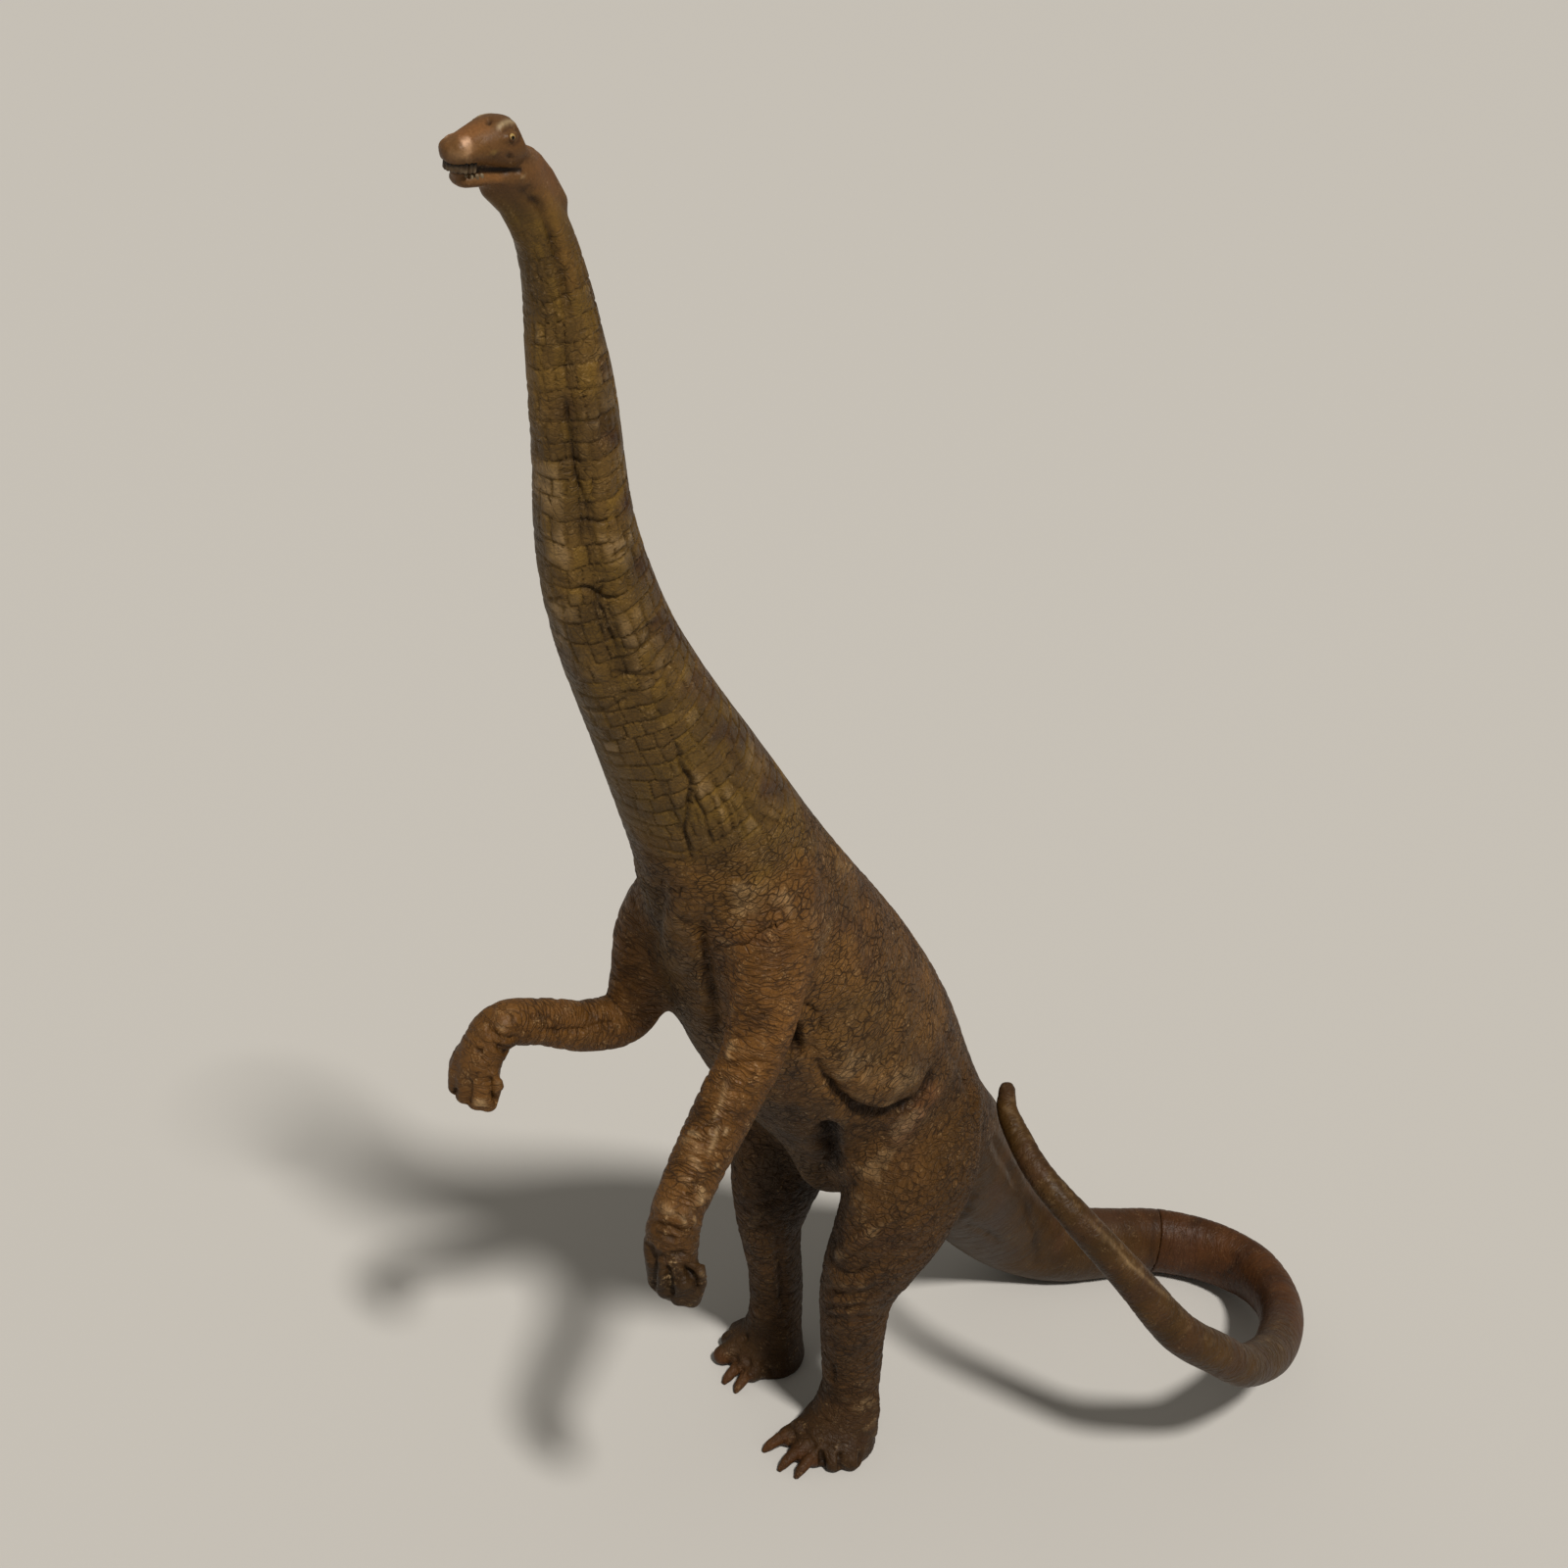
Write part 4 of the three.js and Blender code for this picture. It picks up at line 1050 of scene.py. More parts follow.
def arm_paint(points, normals, skin, fine):
    """Orange-brown, greyer towards the hand in grey-brown paint that is also painted shade, so it
    is fainter where the arm is in the light; with worn spots.
    """
    colour = np.repeat(orange_brown[None], len(points), 0)
    hand = 0.25 * ease_step(skin["along"] - skin["along"].max(), -44.0, -30.0)
    hand = hand + 0.75 * ease_step(skin["along"] - skin["along"].max(), -20.0, -8.0)
    in_light = ease_step(-points[:, 0], 20.0, 34.0)
    colour = mottled(mix(colour, hand_grey_and_shade, hand * (1 - 0.7 * in_light)), points, 121)
    colour = wear(colour, points, fine, 0.42, 131)
    worn = [(line, width, cream, amount) for line, width, amount in worn_spots]
    return brushed(colour, points, normals, worn)


def leg_paint(points, normals, skin, fine):
    """Dark brown, lighter on the thigh, with painted shade near the floor and inside the thighs."""
    colour = np.repeat(dark_brown[None], len(points), 0)
    colour = mix(colour, umber, ease_step(points[:, 2], 60.0, 96.0) * 0.26)
    colour = mix(colour, shaded_brown, ease_step(-points[:, 2], -26.0, -8.0) * 0.8)
    colour = mottled(colour, points, 141)
    # painted shade where the thighs face each other
    inner = ease_step(-np.sign(skin["centre"][:, 0] - to_box_middle[0]) * normals[:, 0], 0.2, 0.9)
    groin_shade = inner * ease_step(points[:, 2], 40.0, 60.0) * (1 - ease_step(points[:, 2], 84.0, 98.0))
    colour = mix(colour, wash_and_shade, groin_shade * 0.7)
    ahead = skin["centre"][:, 1] - points[:, 1]
    claw = ease_step(-points[:, 2], -6.0, -1.0) * ease_step(ahead, 9.5, 12.0)
    colour = mix(colour, claw_brown, claw * 0.8)
    return wear(colour, points, fine, 0.16, 151)


whip_spots_and_highlight = [
    ([(1200, 1300), (1206, 1310)], 1.8, near_black_and_shade, 0.55),
    ([(1218, 1244), (1224, 1250)], 1.4, near_black_and_shade, 0.4),
    ([(1268, 1285), (1256, 1297), (1246, 1306)], 0.9, near_black_and_shade, 0.45),
    # cream along the whip's upper edge: worn paint and a painted highlight
    ([(1106, 1238), (1130, 1264), (1166, 1302), (1200, 1330)], 0.5, cream, 0.22),
]


def whip_paint(points, normals, skin, fine):
    """Red-brown at the seam, brown with purple bands beyond it, and a painted highlight on top."""
    colour = np.repeat(whip_brown[None], len(points), 0)
    start = 1 - ease_step(skin["along"], 62.0, 96.0)
    colour = mix(colour, red_brown, start * 0.85)
    turn = skin["along"] / band_pitch * 2 * np.pi + noise(points / 8.0, 8)
    colour = mix(colour, purple_brown, ease_step(np.sin(turn), 0.2, 0.8) * 0.35)
    colour = mottled(colour, points, 161)
    # a painted highlight where the whip faces up to the light
    lit_top_highlight = ease_step(normals[:, 2], 0.25, 0.85) * (1 - start)
    colour = mix(colour, cream, lit_top_highlight * ease_step(noise(points / 1.6, 171), 0.1, 0.5) * 0.08)
    colour = brushed(colour, points, normals, whip_spots_and_highlight)
    return wear(colour, points, fine, 0.12, 181)


# %% [markdown]
# ## From clay to painted skins
# Each skin is pressed, painted and turned into a mesh. The straightened place is stored too,
# because the paint's finest wrinkles follow the body by it, and so is how strongly they show.

# %% Model, paint and place each piece
def normals_of(points, faces):
    """Mean of the face normals round each point, from the cross product of the diagonals."""
    a, b, c, d = (points[faces[:, k]] for k in range(4))
    face = np.cross(c - a, d - b)
    total = np.stack([np.bincount(faces.ravel(), np.repeat(face[:, k], 4), len(points))
                      for k in range(3)], 1)
    return unit(total)


def mesh_object(name, points, faces, colour, skin_place, wrinkled):
    """A smooth mesh in metres that carries what the paint reads for each of its points."""
    mesh = bpy.data.meshes.new(name)
    mesh.vertices.add(len(points))
    mesh.vertices.foreach_set("co", (points * metre).ravel())
    mesh.loops.add(faces.size)
    mesh.loops.foreach_set("vertex_index", faces.ravel())
    mesh.polygons.add(len(faces))
    mesh.polygons.foreach_set("loop_start", np.arange(0, faces.size, 4))
    mesh.update(calc_edges=True)
    mesh.validate()
    mesh.shade_smooth()
    with_alpha = np.hstack([np.clip(colour, 0, 1), np.ones((len(points), 1))])
    for title, kind, field, values in (("paint", "FLOAT_COLOR", "color", with_alpha),
                                       ("skin_place", "FLOAT_VECTOR", "vector", skin_place),
                                       ("wrinkled", "FLOAT", "value", wrinkled)):
        mesh.attributes.new(title, kind, "POINT").data.foreach_set(field, values.ravel())
    piece = bpy.data.objects.new(name, mesh)
    bpy.context.collection.objects.link(piece)
    return piece


# %% [markdown]
# ## Fill the blocks and take the skins
# Every moulding is cut from its own block. Both sides of a seam reach a little past it and sink
# under each other, so no cut edge is seen: on the real figure the glued edge shows as no more
# than a fold. How near each point is to a limb is kept, so the wrinkles change over softly.

# %% Trunk field and the mouldings' blocks
body_margin = 34.0


def near_part(path, block):
    """The stretch of a path that can reach a block, with a margin of the body's own girth."""
    low = block.first * block.cell - body_margin
    high = (block.first + block.size) * block.cell + body_margin
    inside = np.flatnonzero(np.all((path["centre"] > low) & (path["centre"] < high), axis=1))
    stretch = slice(inside[0], inside[-1] + 1)
    return {key: value[stretch] for key, value in path.items()}


def trunk_field(block):
    """The spine's skin with the keel between the thighs joined to it."""
    body = skin_field(block, tube(near_part(spine, block)))
    return join(body, skin_field(block, tube(keel)), keel_blend)


def block_round(points, cell, margin=4.0):
    """A block that holds all points with a margin in millimetres."""
    return Block(points.min(axis=0) - margin, points.max(axis=0) + margin, cell)


def floor_cut(block, piece):
    """The part of a form that is above the floor."""
    return cut(piece, -plane_field(block, np.zeros(3), (0, 0, 1)))


keel = path_of(stations(keel_rows))
whip = path_of(stations(whip_rows))
limbs = {name: path_of(stations(rows)) for name, rows in limb_rows.items()}
blends = {"leg": leg_blend, "arm": arm_blend}
lap, lap_depth, change = 1.3, 0.30, 6.0
skins, shares_near = {}, {}
spine_points = tube(spine)[0]


def border_of(body, limb):
    """Half the difference of both distances: negative where the limb is the nearer form. Away
    from the body all is limb."""
    return np.where(body <= -reach + 0.01, reach, (limb - body) / 2)


def limb_share(block, border, points):
    """Half on the seam, one well inside the limb, zero well inside the body."""
    return np.clip(0.5 - sample(block, np.clip(border, -reach, reach), points) / (2 * change), 0, 1)


def dive(form, past):
    """A form that ends a lap past its border and sinks there: its distance grows smoothly from
    the border on, so the neighbour's skin lies over its edge."""
    return cut(form + lap_depth * ease_step(past, 0, lap), past - lap)


# %% Torso
# the stretches of the spine that the blocks of torso, tail base and neck are put round
torso_low, torso_high, torso_back = 40, 182, 48
tail_front, tail_high = 20, 90
neck_low, neck_back = 140, 20
back, up = spine_points[:, 1], spine_points[:, 2]
inside = (up > torso_low) & (up < torso_high) & (back < torso_back)
block = block_round(spine_points[inside], cells["torso"])
trunk = trunk_field(block)
whole = trunk
borders = {}
for name, path in limbs.items():
    limb = skin_field(block, tube(path))
    whole = join(whole, limb, blends[name[:3]])
    borders[name] = border_of(trunk, limb)
piece = whole
beyond = [-border for border in borders.values()]
for past in beyond + [below_neck(block), plane_field(block, tail_seam, tail_seam_way)]:
    piece = dive(piece, past)
skins["torso"] = mesh_of(block, piece)
shares_near["torso"] = {name: limb_share(block, border, skins["torso"][0])
                        for name, border in borders.items()}
print("torso", len(skins["torso"][1]), "faces")

# %% Limbs
for name, path in limbs.items():
    kind, side = name.split("_")
    form = tube(path)
    block = block_round(form[0], cells[kind], leg_margin if kind == "leg" else arm_margin)
    trunk = trunk_field(block)
    limb = skin_field(block, form)
    if kind == "leg":
        pads, claws = foot_field(block, *feet[side])
        limb = join(limb, pads, foot_blend)
    else:
        limb = join(limb, hand_field(block, hands[side]), hand_blend)
    border = border_of(trunk, limb)
    piece = dive(join(trunk, limb, blends[kind]), border)
    if kind == "leg":
        piece = floor_cut(block, np.minimum(piece, claws))
    skins[name] = mesh_of(block, piece)
    shares_near[name] = {name: limb_share(block, border, skins[name][0])}
    print(name, len(skins[name][1]), "faces")

# %% Tail base and whip
tail_points = spine_points[(back > tail_front) & (up < tail_high)]
block = block_round(tail_points, cells["tail"])
tail = skin_field(block, tube(near_part(spine, block)))
for name in ("leg_left", "leg_right"):
    leg = skin_field(block, tube(limbs[name]))
    tail = dive(join(tail, leg, tail_blend), -border_of(tail, leg))
piece = dive(tail, -plane_field(block, tail_seam, tail_seam_way))
piece = floor_cut(block, cut(piece, plane_field(block, whip_seam, whip_seam_way) + seam_gap))
skins["tail_base"] = mesh_of(block, piece)
print("tail base", len(skins["tail_base"][1]), "faces")

# the whip curls back over its own seam, so only what is near the seam is cut there
seam_nearness = 16.0
form = tube(whip, sides=28)
block = block_round(form[0], cells["whip"])
piece = skin_field(block, form)
x, y, z = block.axes()
from_seam = np.sqrt((x - whip_seam[0]) ** 2 + (y - whip_seam[1]) ** 2 + (z - whip_seam[2]) ** 2)
ahead_of_seam = np.maximum(-plane_field(block, whip_seam, whip_seam_way) + seam_gap, -reach)
piece = floor_cut(block, cut(piece, np.where(from_seam < seam_nearness, ahead_of_seam, -reach)))
skins["tail_whip"] = mesh_of(block, piece)
print("tail whip", len(skins["tail_whip"][1]), "faces")

# %% [markdown]
# ## Head
# The head is hardly longer than a thumb nail: a blunt snout that hangs over the lower jaw, a
# high crown, the eye far back. Skull and jaw are two ropes of rings with a gap for the mouth.

# %% Skull and jaw
skull_rows = np.array([
    [-4.3, -111.2, 293.6, 2.6, 1.9], [-4.4, -112.6, 296.0, 3.6, 3.0],
    [-4.5, -114.6, 296.6, 4.0, 3.5], [-4.6, -116.6, 296.8, 3.9, 3.3],
    [-4.6, -118.8, 296.6, 3.4, 2.7], [-4.6, -120.6, 296.3, 3.1, 2.2],
    [-4.6, -121.9, 296.1, 2.8, 1.9], [-4.6, -122.5, 296.0, 2.5, 1.7]])
jaw_rows = np.array([
    [-4.4, -111.6, 292.0, 2.8, 2.4], [-4.5, -114.0, 292.1, 3.0, 1.8],
    [-4.6, -117.0, 292.2, 2.8, 1.15], [-4.6, -119.6, 292.2, 2.5, 1.1],
    [-4.6, -121.0, 292.2, 2.2, 1.1]])
mouth_line = np.array([[-4.4, -111.8, 293.5], [-4.6, -117.0, 293.6], [-4.6, -121.4, 293.6]])
for rows in (skull_rows, jaw_rows, mouth_line):
    rows[:, :3] += to_box_middle
# nape, throat and the notch behind the crown, each a rope with its radii
nape_line = np.array([[-26.6, -107.1, 292.8], [-26.6, -104.9, 290.9], [-26.6, -102.4, 287.4]])
throat_line = np.array([[-26.6, -113.5, 290.4], [-26.6, -110.5, 287.6], [-26.6, -107.5, 283.5]])
notch_line = np.array([[-35.6, -108.6, 298.9], [-17.6, -108.6, 298.9]])
mouth_radii, nape_radii, throat_radii = [2.4, 1.9, 1.4], [2.1, 1.95, 2.1], [1.7, 1.45, 1.3]
notch_radii = [3.2, 3.2]
jaw_blend, nape_blend, throat_blend, head_blend, notch_blend = 0.8, 2.0, 1.6, 1.2, 0.8
skull = tube(path_of(skull_rows))
jaw = tube(path_of(jaw_rows))
neck_points = spine_points[(up > neck_low) & (back < neck_back)]
block = block_round(np.vstack([neck_points, skull[0]]), cells["neck"])
neck = trunk_field(block)
head = join(skin_field(block, skull), skin_field(block, jaw), jaw_blend)
head = np.minimum(head, rope_field(block, mouth_line, mouth_radii))
head = join(head, rope_field(block, nape_line, nape_radii), nape_blend)
head = join(head, rope_field(block, throat_line, throat_radii), throat_blend)
neck = carve(join(neck, head, head_blend), rope_field(block, notch_line, notch_radii), notch_blend)
skins["neck_and_head"] = mesh_of(block, dive(neck, -below_neck(block)))
print("neck and head", len(skins["neck_and_head"][1]), "faces")

head_strokes = [
    # nostril on the crown, ear hole, eye with its ring, cheek, lips and the angle of the jaw
    ([(499, 120), (500, 126)], 0.45, -0.5),
    ([(520, 156), (522, 162)], 0.32, -0.4),
    ([(513, 138), (517, 131), (524, 130), (530, 136), (530, 143), (525, 147), (517, 146),
      (513, 140)], 0.28, -0.22),
    ([(521, 135), (524, 142)], 0.9, 0.35),
    ([(508, 131), (518, 127), (528, 130)], 0.5, 0.2),
    ([(464, 152), (474, 148), (482, 146)], 1.4, 0.25),
    ([(488, 140), (496, 150), (500, 160)], 0.8, -0.2),
    ([(503, 152), (505, 158)], 0.55, 0.22),
    ([(450, 160), (460, 165), (472, 167), (486, 168)], 0.3, 0.18),
    ([(526, 178), (534, 180)], 0.5, 0.3),
    ([(536, 190), (548, 198)], 0.5, -0.3),
]
head_paint = [
    ([(462, 138), (484, 130), (500, 121)], 1.6, snout_brown, 0.6),
    # a painted highlight on the snout
    ([(470, 149), (476, 146), (481, 143)], 0.55, snout_highlight_cream, 0.8),
    ([(456, 157), (470, 159), (482, 161)], 0.8, lip_tan, 0.6),
    # the painted highlight running down from the snout to the lip
    ([(476, 148), (480, 158)], 0.7, snout_highlight_tan, 0.6),
    ([(514, 140), (516, 133), (523, 130), (530, 136), (530, 143), (523, 148), (516, 145)], 0.30,
     purple_brown, 0.75),
    ([(506, 131), (513, 128), (521, 125), (527, 127)], 0.36, brow_cream, 0.65),
    # painted shade in the furrow from the angle of the jaw down the neck
    (jaw_to_neck, 0.7, wash_and_shade, 0.85),
    ([(503, 154), (505, 158)], 0.5, cheek_ochre, 0.8),
    ([(532, 178), (534, 181)], 0.4, cream, 0.7),
    ([(499, 121), (500, 125)], 0.4, near_black_and_shade, 0.9),
    ([(520, 157), (522, 162)], 0.32, near_black_and_shade, 0.8),
    # the mouth's slit, painted near black, which also stands in for the shade in it
    ([(478, 170), (492, 171), (506, 173), (522, 177)], 0.34, near_black_and_shade, 0.9),
    ([(484, 180), (500, 182), (516, 184)], 0.6, lip_brown, 0.7),
    ([(552, 150), (574, 186), (590, 226), (602, 268), (612, 306)], 1.2, purple_brown, 0.6),
    # a painted highlight along the lit upper edge of the neck
    ([(545, 190), (566, 225), (578, 260), (590, 310)], 1.1, nape_highlight_ochre, 0.5),
]

# %% [markdown]
# ## Eyes and teeth
# The eyes are small domes under a lid, set where the photograph shows the left one and mirrored.
# The teeth are two rows of blunt pegs along the front of both jaws, as a sauropod has them.
# They are small clay forms of their own, so each stays crisp beside the soft lips.

# %% Eyes and teeth
def ball_field(block, centre, radius):
    """Distance from a point less the radius."""
    x, y, z = block.axes()
    return np.sqrt((x - centre[0]) ** 2 + (y - centre[1]) ** 2 + (z - centre[2]) ** 2) - radius


def skin_at(points, normals, pixel):
    """The point and the normal that the camera sees at a pixel: the nearest one of those that
    are shown within two pixels of it."""
    gap = np.linalg.norm(picture_of(points) - pixel, axis=1)
    near = np.flatnonzero((gap < 2.0) & (seen_facing(points, normals) > 0.1))
    best = near[np.argmin(np.linalg.norm(points[near] - camera_place, axis=1))]
    return points[best], normals[best]


def tooth_row(block, middle, half_width, ahead, low, high, count):
    """Pegs on half an oval round the front of the mouth, each from its low to its high end."""
    row = np.full(tuple(block.size), reach, np.float32)
    for turn in np.linspace(-last_tooth, last_tooth, count):
        x, y = (middle + turned(turn) * [half_width, ahead, 0])[:2]
        peg = rope_field(block, [[x, y, low], [x, y, high]], [tooth_radius, tooth_radius])
        row = np.minimum(row, peg)
    return row


eye_pixel, eye_radius, eye_depth = (522.0, 138.5), 0.60, 0.04
tooth_radius, last_tooth, eye_cell, tooth_cell = 0.32, 100.0, 0.09, 0.13
mouth_middle = spot(-0.0153, -0.4035, 0.0)
# for each row: its middle, half width, reach ahead, low end, high end and number of teeth
tooth_rows = {"upper": (mouth_middle, 2.10, 2.3, 293.75, 294.9, 13),
              "lower": (mouth_middle + [0, 1.5, 0], 1.95, 2.25, 292.0, 293.0, 11)}
head_points, head_faces = skins["neck_and_head"]
eye_place, eye_way = skin_at(head_points, normals_of(head_points, head_faces), eye_pixel)
eye_centre = eye_place - eye_way * eye_depth
head_middle = float(skull_rows[3, 0])
eye_centres = {"left": eye_centre, "right": eye_centre * [-1, 1, 1] + [2 * head_middle, 0, 0]}
small_skins = {}
for side, centre in eye_centres.items():
    block = block_round(np.array([centre]), eye_cell, 1.3)
    small_skins["eye_" + side] = mesh_of(block, ball_field(block, centre, eye_radius))
mouth_corners = np.array([mouth_middle + [-4, -5, 290], mouth_middle + [4, 2, 297]])
block = block_round(mouth_corners, tooth_cell, 0.5)
for which, row in tooth_rows.items():
    small_skins["teeth_" + which] = mesh_of(block, tooth_row(block, *row))
print("eyes at", eye_centre.round(1), "- faces:", {k: len(v[1]) for k, v in small_skins.items()})

# %% Sculpt and paint every skin
fine_paths = {name: path_of(stations(rows), 16) for name, rows in limb_rows.items()}
fine_paths["spine"] = path_of(stations(spine_rows), 24)
fine_paths["whip"] = path_of(stations(whip_rows), 24)
limb_ways = {"leg": (leg_relief, leg_paint), "arm": (arm_relief, arm_paint)}
both_sided = {"torso": trunk_strokes + shoulder_strokes, "leg_left": trunk_strokes,
              "leg_right": trunk_strokes,
              "neck_and_head": shoulder_strokes + neck_strokes + head_strokes}
one_sided = {"leg_left": left_leg_strokes, "leg_right": right_leg_strokes,
             "arm_left": left_arm_strokes, "arm_right": right_arm_strokes,
             "tail_base": tail_strokes}
narrow, wash_share, sole_height = 0.6, 0.35, 0.6


def home_of(name, points):
    """The skin laid out straight along the whip or, for every other moulding, the spine."""
    return straightened(points, fine_paths["whip" if name == "tail_whip" else "spine"])


def sculpted(name, points, faces):
    """Points pressed along their normals by all relief, with the normals and the fine relief
    that wash and dry brush go by. Narrow strokes are fine, broad ones count a third. The sole
    stays flat."""
    normals = normals_of(points, faces)
    skin = home_of(name, points)
    fine = (whip_relief if name == "tail_whip" else spine_relief)(points, skin)
    for limb, share in shares_near.get(name, {}).items():
        chosen = np.flatnonzero(share > 0.01)
        relief = limb_ways[limb[:3]][0]
        part = relief(points[chosen], straightened(points[chosen], fine_paths[limb]))
        weight = ease_step(share[chosen], 0.0, 1.0)
        fine[chosen] = fine[chosen] * (1 - weight) + part * weight
    broad = 0.0
    for both, strokes in ((True, both_sided.get(name, [])), (False, one_sided.get(name, []))):
        for is_narrow in (True, False):
            chosen = [stroke for stroke in strokes if (stroke[1] < narrow) == is_narrow]
            if both:
                relief = press_both_sides(points, normals, chosen, skin["centre"][:, 0])
            else:
                relief = press(points, normals, chosen)
            if is_narrow:
                fine = fine + relief
            else:
                broad = broad + relief
    moved = points + normals * (fine + broad)[:, None]
    low = points[:, 2] < sole_height
    moved[:, 2] = np.where(low, points[:, 2], np.maximum(moved[:, 2], 0.0))
    return moved, normals, fine + wash_share * broad


def wrinkle_strength(name, points):
    """How strongly the finest wrinkles show: fully on trunk and arms, hardly on head and claws."""
    value = 1.0 - 0.35 * neck_share(points) - 0.75 * tail_share(points)
    for limb, share in shares_near.get(name, {}).items():
        kind, side = limb.split("_")
        if kind == "arm":
            gap = np.linalg.norm(points - hands[side], axis=1)
            own = 0.40 + 0.60 * ease_step(gap, 9.0, 17.0)
        else:
            own = 0.45 + 0.50 * ease_step(points[:, 2], 7.0, 20.0)
        value = value * (1 - share) + own * share
    if name == "tail_whip":
        value = np.full(len(points), 0.36)
    return value * (1 - 0.85 * ease_step(points[:, 2], 280.0, 290.0))


def painted(name, points, normals, fine):
    """Colour and straightened place of each point: the body's paint, eased into the limb's."""
    skin = home_of(name, points)
    if name == "tail_whip":
        return whip_paint(points, normals, skin, fine), skin["place"]
    colour = spine_paint(points, normals, skin, fine)
    place = skin["place"].copy()
    for limb, share in shares_near.get(name, {}).items():
        chosen = np.flatnonzero(share > 0.01)
        limb_skin = straightened(points[chosen], fine_paths[limb])
        part = limb_ways[limb[:3]][1](points[chosen], normals[chosen], limb_skin, fine[chosen])
        weight = ease_step(share[chosen], 0.1, 0.9)[:, None]
        colour[chosen] = colour[chosen] * (1 - weight) + part * weight
        if name == limb:
            place[chosen] = limb_skin["place"]
    if name == "neck_and_head":
        skull_part = ease_step(points[:, 2], 286.0, 292.0)
        colour = mix(colour, skull_brown, skull_part * 0.8)
        # the gap between the jaws is painted near black, which also stands in for the shade inside
        # it
        in_mouth = bump_of(points[:, 2], 293.6, 0.42) * ease_step(-points[:, 1], 110.5, 112.0)
        colour = mix(colour, near_black_and_shade, ease_step(in_mouth, 0.35, 0.8) * 0.92)
        colour = brushed(colour, points, normals, head_paint, skin["centre"][:, 0])
    return colour, place


# %% [markdown]
# ## The painted vinyl
# The paint reads the colour that is stored with the mesh. On top come what is finer than the
# mesh: wrinkles across the body, cracks between small plates, grain, a dark wash in each crack
# and a paler dry brush between them. The satin sheen changes a little from place to place.

# %% Material
wash_colour, cream_colour = tuple(wash_and_shade) + (1.0,), tuple(cream) + (1.0,)
bump_strength, bump_height, sheen_level = 0.85, 0.00030, 0.17


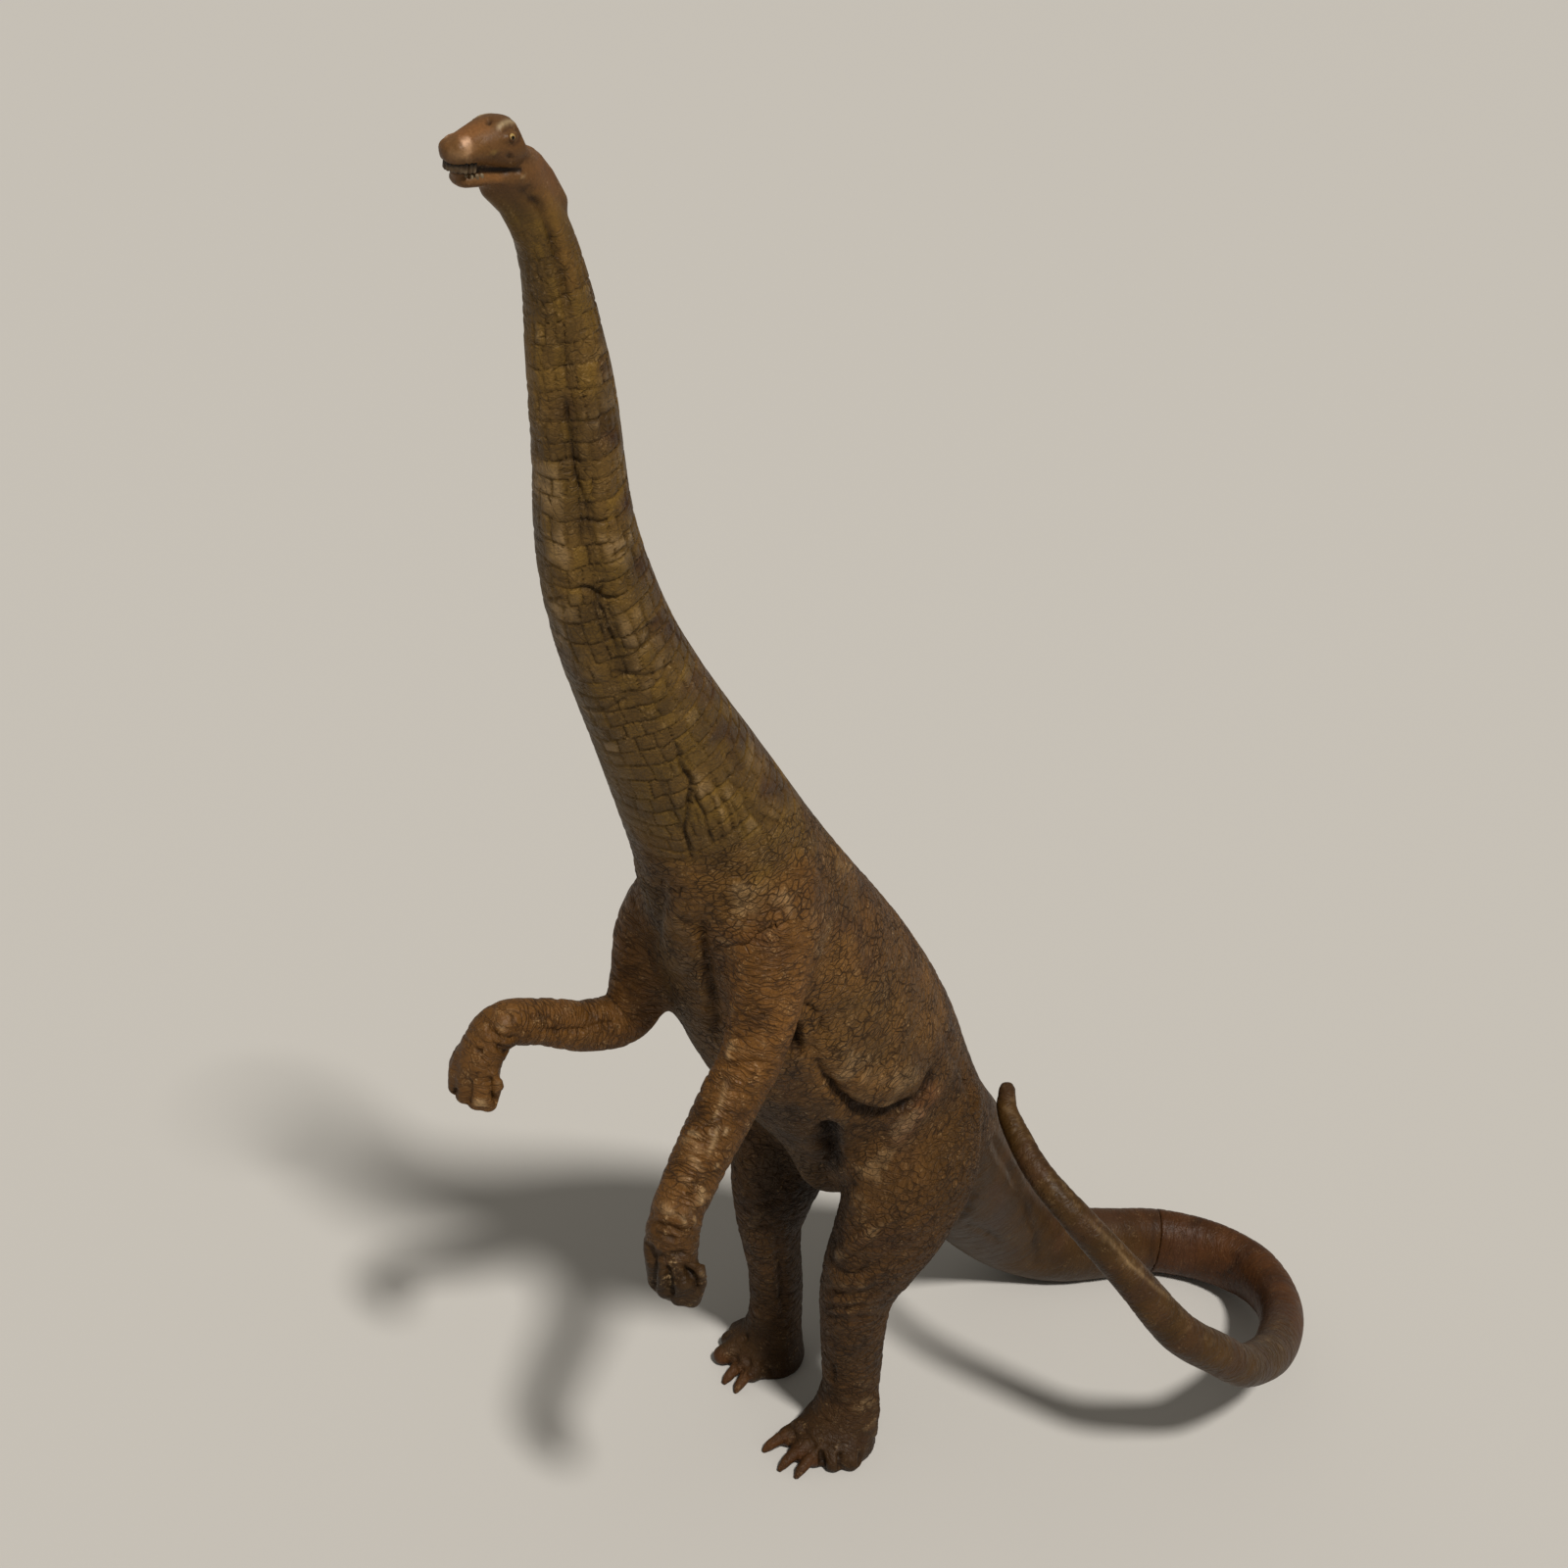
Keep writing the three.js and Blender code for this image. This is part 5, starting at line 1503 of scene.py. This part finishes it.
def vinyl_paint(name, wrinkle_pitch, wrinkle_stretch, plate_size, wrinkle_depth, plate_depth,
                brush, shine, cell_floor=0.35, fold_floor=0.0):
    """Painted vinyl. Wrinkles are cell edges times folds of noise, cracks are the edges of small
    plates. Both are floors from 0 to 1, and what is missing to 1 is filled with wash."""
    paint = bpy.data.materials.new(name)
    paint.use_nodes = True
    tree = paint.node_tree
    nodes, links = tree.nodes, tree.links
    shader = nodes["Principled BSDF"]

    def node(kind, **settings):
        made = nodes.new(kind)
        for key, value in settings.items():
            setattr(made, key, value)
        return made

    def feed(socket, value):
        if hasattr(value, "links"):
            links.new(value, socket)
        else:
            socket.default_value = value

    def math_of(operation, one, other=0.0, clamp=False):
        made = node("ShaderNodeMath", operation=operation, use_clamp=clamp)
        feed(made.inputs[0], one)
        feed(made.inputs[1], other)
        return made.outputs[0]

    def ramp(value, low, high, start=0.0, end=1.0):
        made = node("ShaderNodeMapRange", interpolation_type="SMOOTHSTEP")
        for socket, number in zip(made.inputs[:5], (value, low, high, start, end)):
            feed(socket, number)
        return made.outputs[0]

    def blend(one, other, amount):
        made = node("ShaderNodeMix", data_type="RGBA")
        feed(made.inputs[0], amount)
        feed(made.inputs[6], one)
        feed(made.inputs[7], other)
        return made.outputs[2]

    stored = node("ShaderNodeAttribute", attribute_name="paint")
    place = node("ShaderNodeAttribute", attribute_name="skin_place").outputs["Vector"]
    strength = node("ShaderNodeAttribute", attribute_name="wrinkled").outputs["Fac"]

    def scaled(vector, x, y, z):
        made = node("ShaderNodeMapping")
        feed(made.inputs["Vector"], vector)
        made.inputs["Scale"].default_value = (x, y, z)
        return made.outputs[0]

    def noise_of(vector, scale, detail=2.0, output="Fac"):
        made = node("ShaderNodeTexNoise")
        feed(made.inputs["Vector"], vector)
        made.inputs["Scale"].default_value = scale
        made.inputs["Detail"].default_value = detail
        return made.outputs[output]

    def bent_by_noise(vector, scale, detail, amount):
        """The vector moved by noise of the straightened place, by up to an amount each way."""
        made = node("ShaderNodeVectorMath", operation="MULTIPLY_ADD")
        feed(made.inputs[0], noise_of(place, scale, detail, "Color"))
        made.inputs[1].default_value = (amount, amount, amount)
        feed(made.inputs[2], vector)
        return made.outputs[0]

    def cell_edges(vector, width, least=0.0):
        """The least value on the edges between cells, rising to one at a width from them."""
        made = node("ShaderNodeTexVoronoi", feature="DISTANCE_TO_EDGE")
        feed(made.inputs["Vector"], vector)
        made.inputs["Scale"].default_value = 1.0
        return ramp(made.outputs["Distance"], 0.0, width, least, 1.0)

    def times(one, other):
        return math_of("MULTIPLY", one, other)

    bent = bent_by_noise(bent_by_noise(place, 0.10, 2.0, 3.0), 0.42, 1.0, 1.3)
    across, along = 1 / wrinkle_stretch, 1 / wrinkle_pitch
    edges = cell_edges(scaled(bent, across, across, along), 0.13, cell_floor)
    folds = noise_of(scaled(bent, 0.4 * across, 0.4 * across, 0.75 * along), 1.0, 1.5)
    off_middle = math_of("ABSOLUTE", math_of("SUBTRACT", folds, 0.5))
    crease = times(edges, ramp(off_middle, 0.0, 0.05, fold_floor, 1.0))
    crack = cell_edges(scaled(bent, 1 / plate_size, 1 / plate_size, 1.35 / plate_size), 0.12)
    nick = ramp(noise_of(scaled(bent, 0.42, 0.42, 1.5), 1.0, 0.5), 0.68, 0.73)
    grain, cloud = noise_of(place, 2.6, 4.0), noise_of(place, 0.11, 3.0)

    relief = math_of("ADD", times(crease, wrinkle_depth), times(crack, plate_depth))
    relief = times(math_of("SUBTRACT", relief, nick), strength)
    relief = math_of("ADD", relief, times(grain, 0.16))
    bump = node("ShaderNodeBump")
    bump.inputs["Strength"].default_value = bump_strength
    bump.inputs["Distance"].default_value = bump_height
    feed(bump.inputs["Height"], relief)
    feed(shader.inputs["Normal"], bump.outputs[0])

    tone = times(ramp(cloud, 0.30, 0.70, 0.76, 1.20), ramp(grain, 0.25, 0.75, 0.86, 1.12))
    toned = node("ShaderNodeVectorMath", operation="SCALE")
    feed(toned.inputs[0], stored.outputs["Color"])
    feed(toned.inputs["Scale"], tone)
    colour = toned.outputs[0]
    in_crease = times(math_of("SUBTRACT", 1.0, crease), 0.78 * min(wrinkle_depth, 1.0))
    in_crack = times(math_of("SUBTRACT", 1.0, crack), 0.42 * min(plate_depth, 1.0))
    dark = math_of("MAXIMUM", math_of("MAXIMUM", in_crease, in_crack), times(nick, 0.6))
    faded = ramp(noise_of(place, 0.20), 0.40, 0.60, 0.30, 1.0)
    dark = times(times(dark, strength), faded)
    colour = blend(colour, wash_colour, dark)
    touched = ramp(noise_of(place, 0.42), 0.50, 0.70)
    ridge = ramp(grain, 0.45, 0.70)
    dry = times(times(times(crease, crack), touched), times(ridge, brush))
    colour = blend(colour, cream_colour, dry)
    feed(shader.inputs["Base Color"], colour)
    rough = ramp(cloud, 0.3, 0.7, shine - 0.05, shine + 0.08)
    rough = math_of("ADD", rough, times(dark, 0.25), clamp=True)
    feed(shader.inputs["Roughness"], rough)
    shader.inputs["Specular IOR Level"].default_value = sheen_level
    return paint


looks = {
    # pitch and stretch of wrinkles, plate size, depth of wrinkles and of plates, dry brush,
    # roughness, and the floors of cells and of folds where they aren't the usual ones
    "neck_paint": (2.2, 1.6, 1.0, 0.50, 0.25, 0.26, 0.47, 0.10, 0.35),
    "torso_paint": (1.25, 2.1, 0.95, 1.10, 0.35, 0.42, 0.50, 0.0, 0.60),
    "forelimb_paint": (1.15, 3.2, 1.0, 0.95, 0.25, 0.46, 0.48, 0.30, 0.20),
    "hindlimb_paint": (1.3, 2.2, 1.0, 1.00, 0.35, 0.22, 0.52, 0.10, 0.45),
    "tail_paint": (1.5, 3.8, 1.3, 0.70, 0.25, 0.16, 0.46),
    "eye_gloss": (2.0, 7.0, 2.4, 0.0, 0.0, 0.0, 0.14),
    "tooth_paint": (2.0, 7.0, 2.4, 0.0, 0.0, 0.0, 0.38),
}
paints = {name: vinyl_paint(name, *look) for name, look in looks.items()}


def eye_paint(points, centre, outward):
    """A cream iris with a dark pupil that looks a little down, and a brown rim."""
    way = unit(points - centre)
    colour = np.repeat(iris[None], len(points), 0)
    colour = mix(colour, eye_rim, ease_step(-(way @ outward), -0.80, -0.62))
    return mix(colour, near_black_and_shade, ease_step(way @ unit(outward - [0, 0, 0.32]), 0.86, 0.93))


def tooth_paint(points, gum, tip, stain):
    """Dark at the gum, bone at the tip, with stains between the pegs."""
    colour = np.repeat(bone[None], len(points), 0)
    colour = mix(colour, tooth_stain, stain + 0.5 * noise(points / 0.8, 191))
    return mix(colour, near_black_and_shade, 1 - ease_step((points[:, 2] - gum) / (tip - gum), 0.0, 0.7))


# %% Write the meshes
def set_in_frame(piece, paint, node):
    """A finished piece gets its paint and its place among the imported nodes."""
    piece.data.materials.append(paint)
    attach(piece, "root")
    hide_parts(node)


pieces = {"torso": ("torso", "torso"), "neck_and_head": ("neck_and_head", "neck"),
          "leg_left": ("hindlimb_left", "hindlimb"), "leg_right": ("hindlimb_right", "hindlimb"),
          "arm_left": ("forelimb_left", "forelimb"), "arm_right": ("forelimb_right", "forelimb"),
          "tail_base": ("tail_base", "tail"), "tail_whip": ("tail_whip", "tail")}
for name, (node, slot) in pieces.items():
    points, faces = skins[name]
    moved, normals, fine = sculpted(name, points, faces)
    colour, place = painted(name, points, normals, fine)
    strength = wrinkle_strength(name, points)
    piece = mesh_object("skin_" + name, moved, faces, colour, place, strength)
    set_in_frame(piece, paints[slot + "_paint"], node)
    print(piece.name, "relief in mm from", fine.min().round(2), "to", fine.max().round(2))

eye_ways = {"left": eye_way, "right": eye_way * [-1, 1, 1]}
teeth_ends = {"upper": (294.9, 293.3, 0.95), "lower": (291.4, 292.9, 0.45)}
for name, (points, faces) in small_skins.items():
    kind, which = name.split("_")
    if kind == "eye":
        colour = eye_paint(points, eye_centres[which], eye_ways[which])
    else:
        colour = tooth_paint(points, *teeth_ends[which])
    piece = mesh_object(name, points, faces, colour, points, np.zeros(len(points)))
    paint = paints["eye_gloss" if kind == "eye" else "tooth_paint"]
    set_in_frame(piece, paint, "neck_and_head")
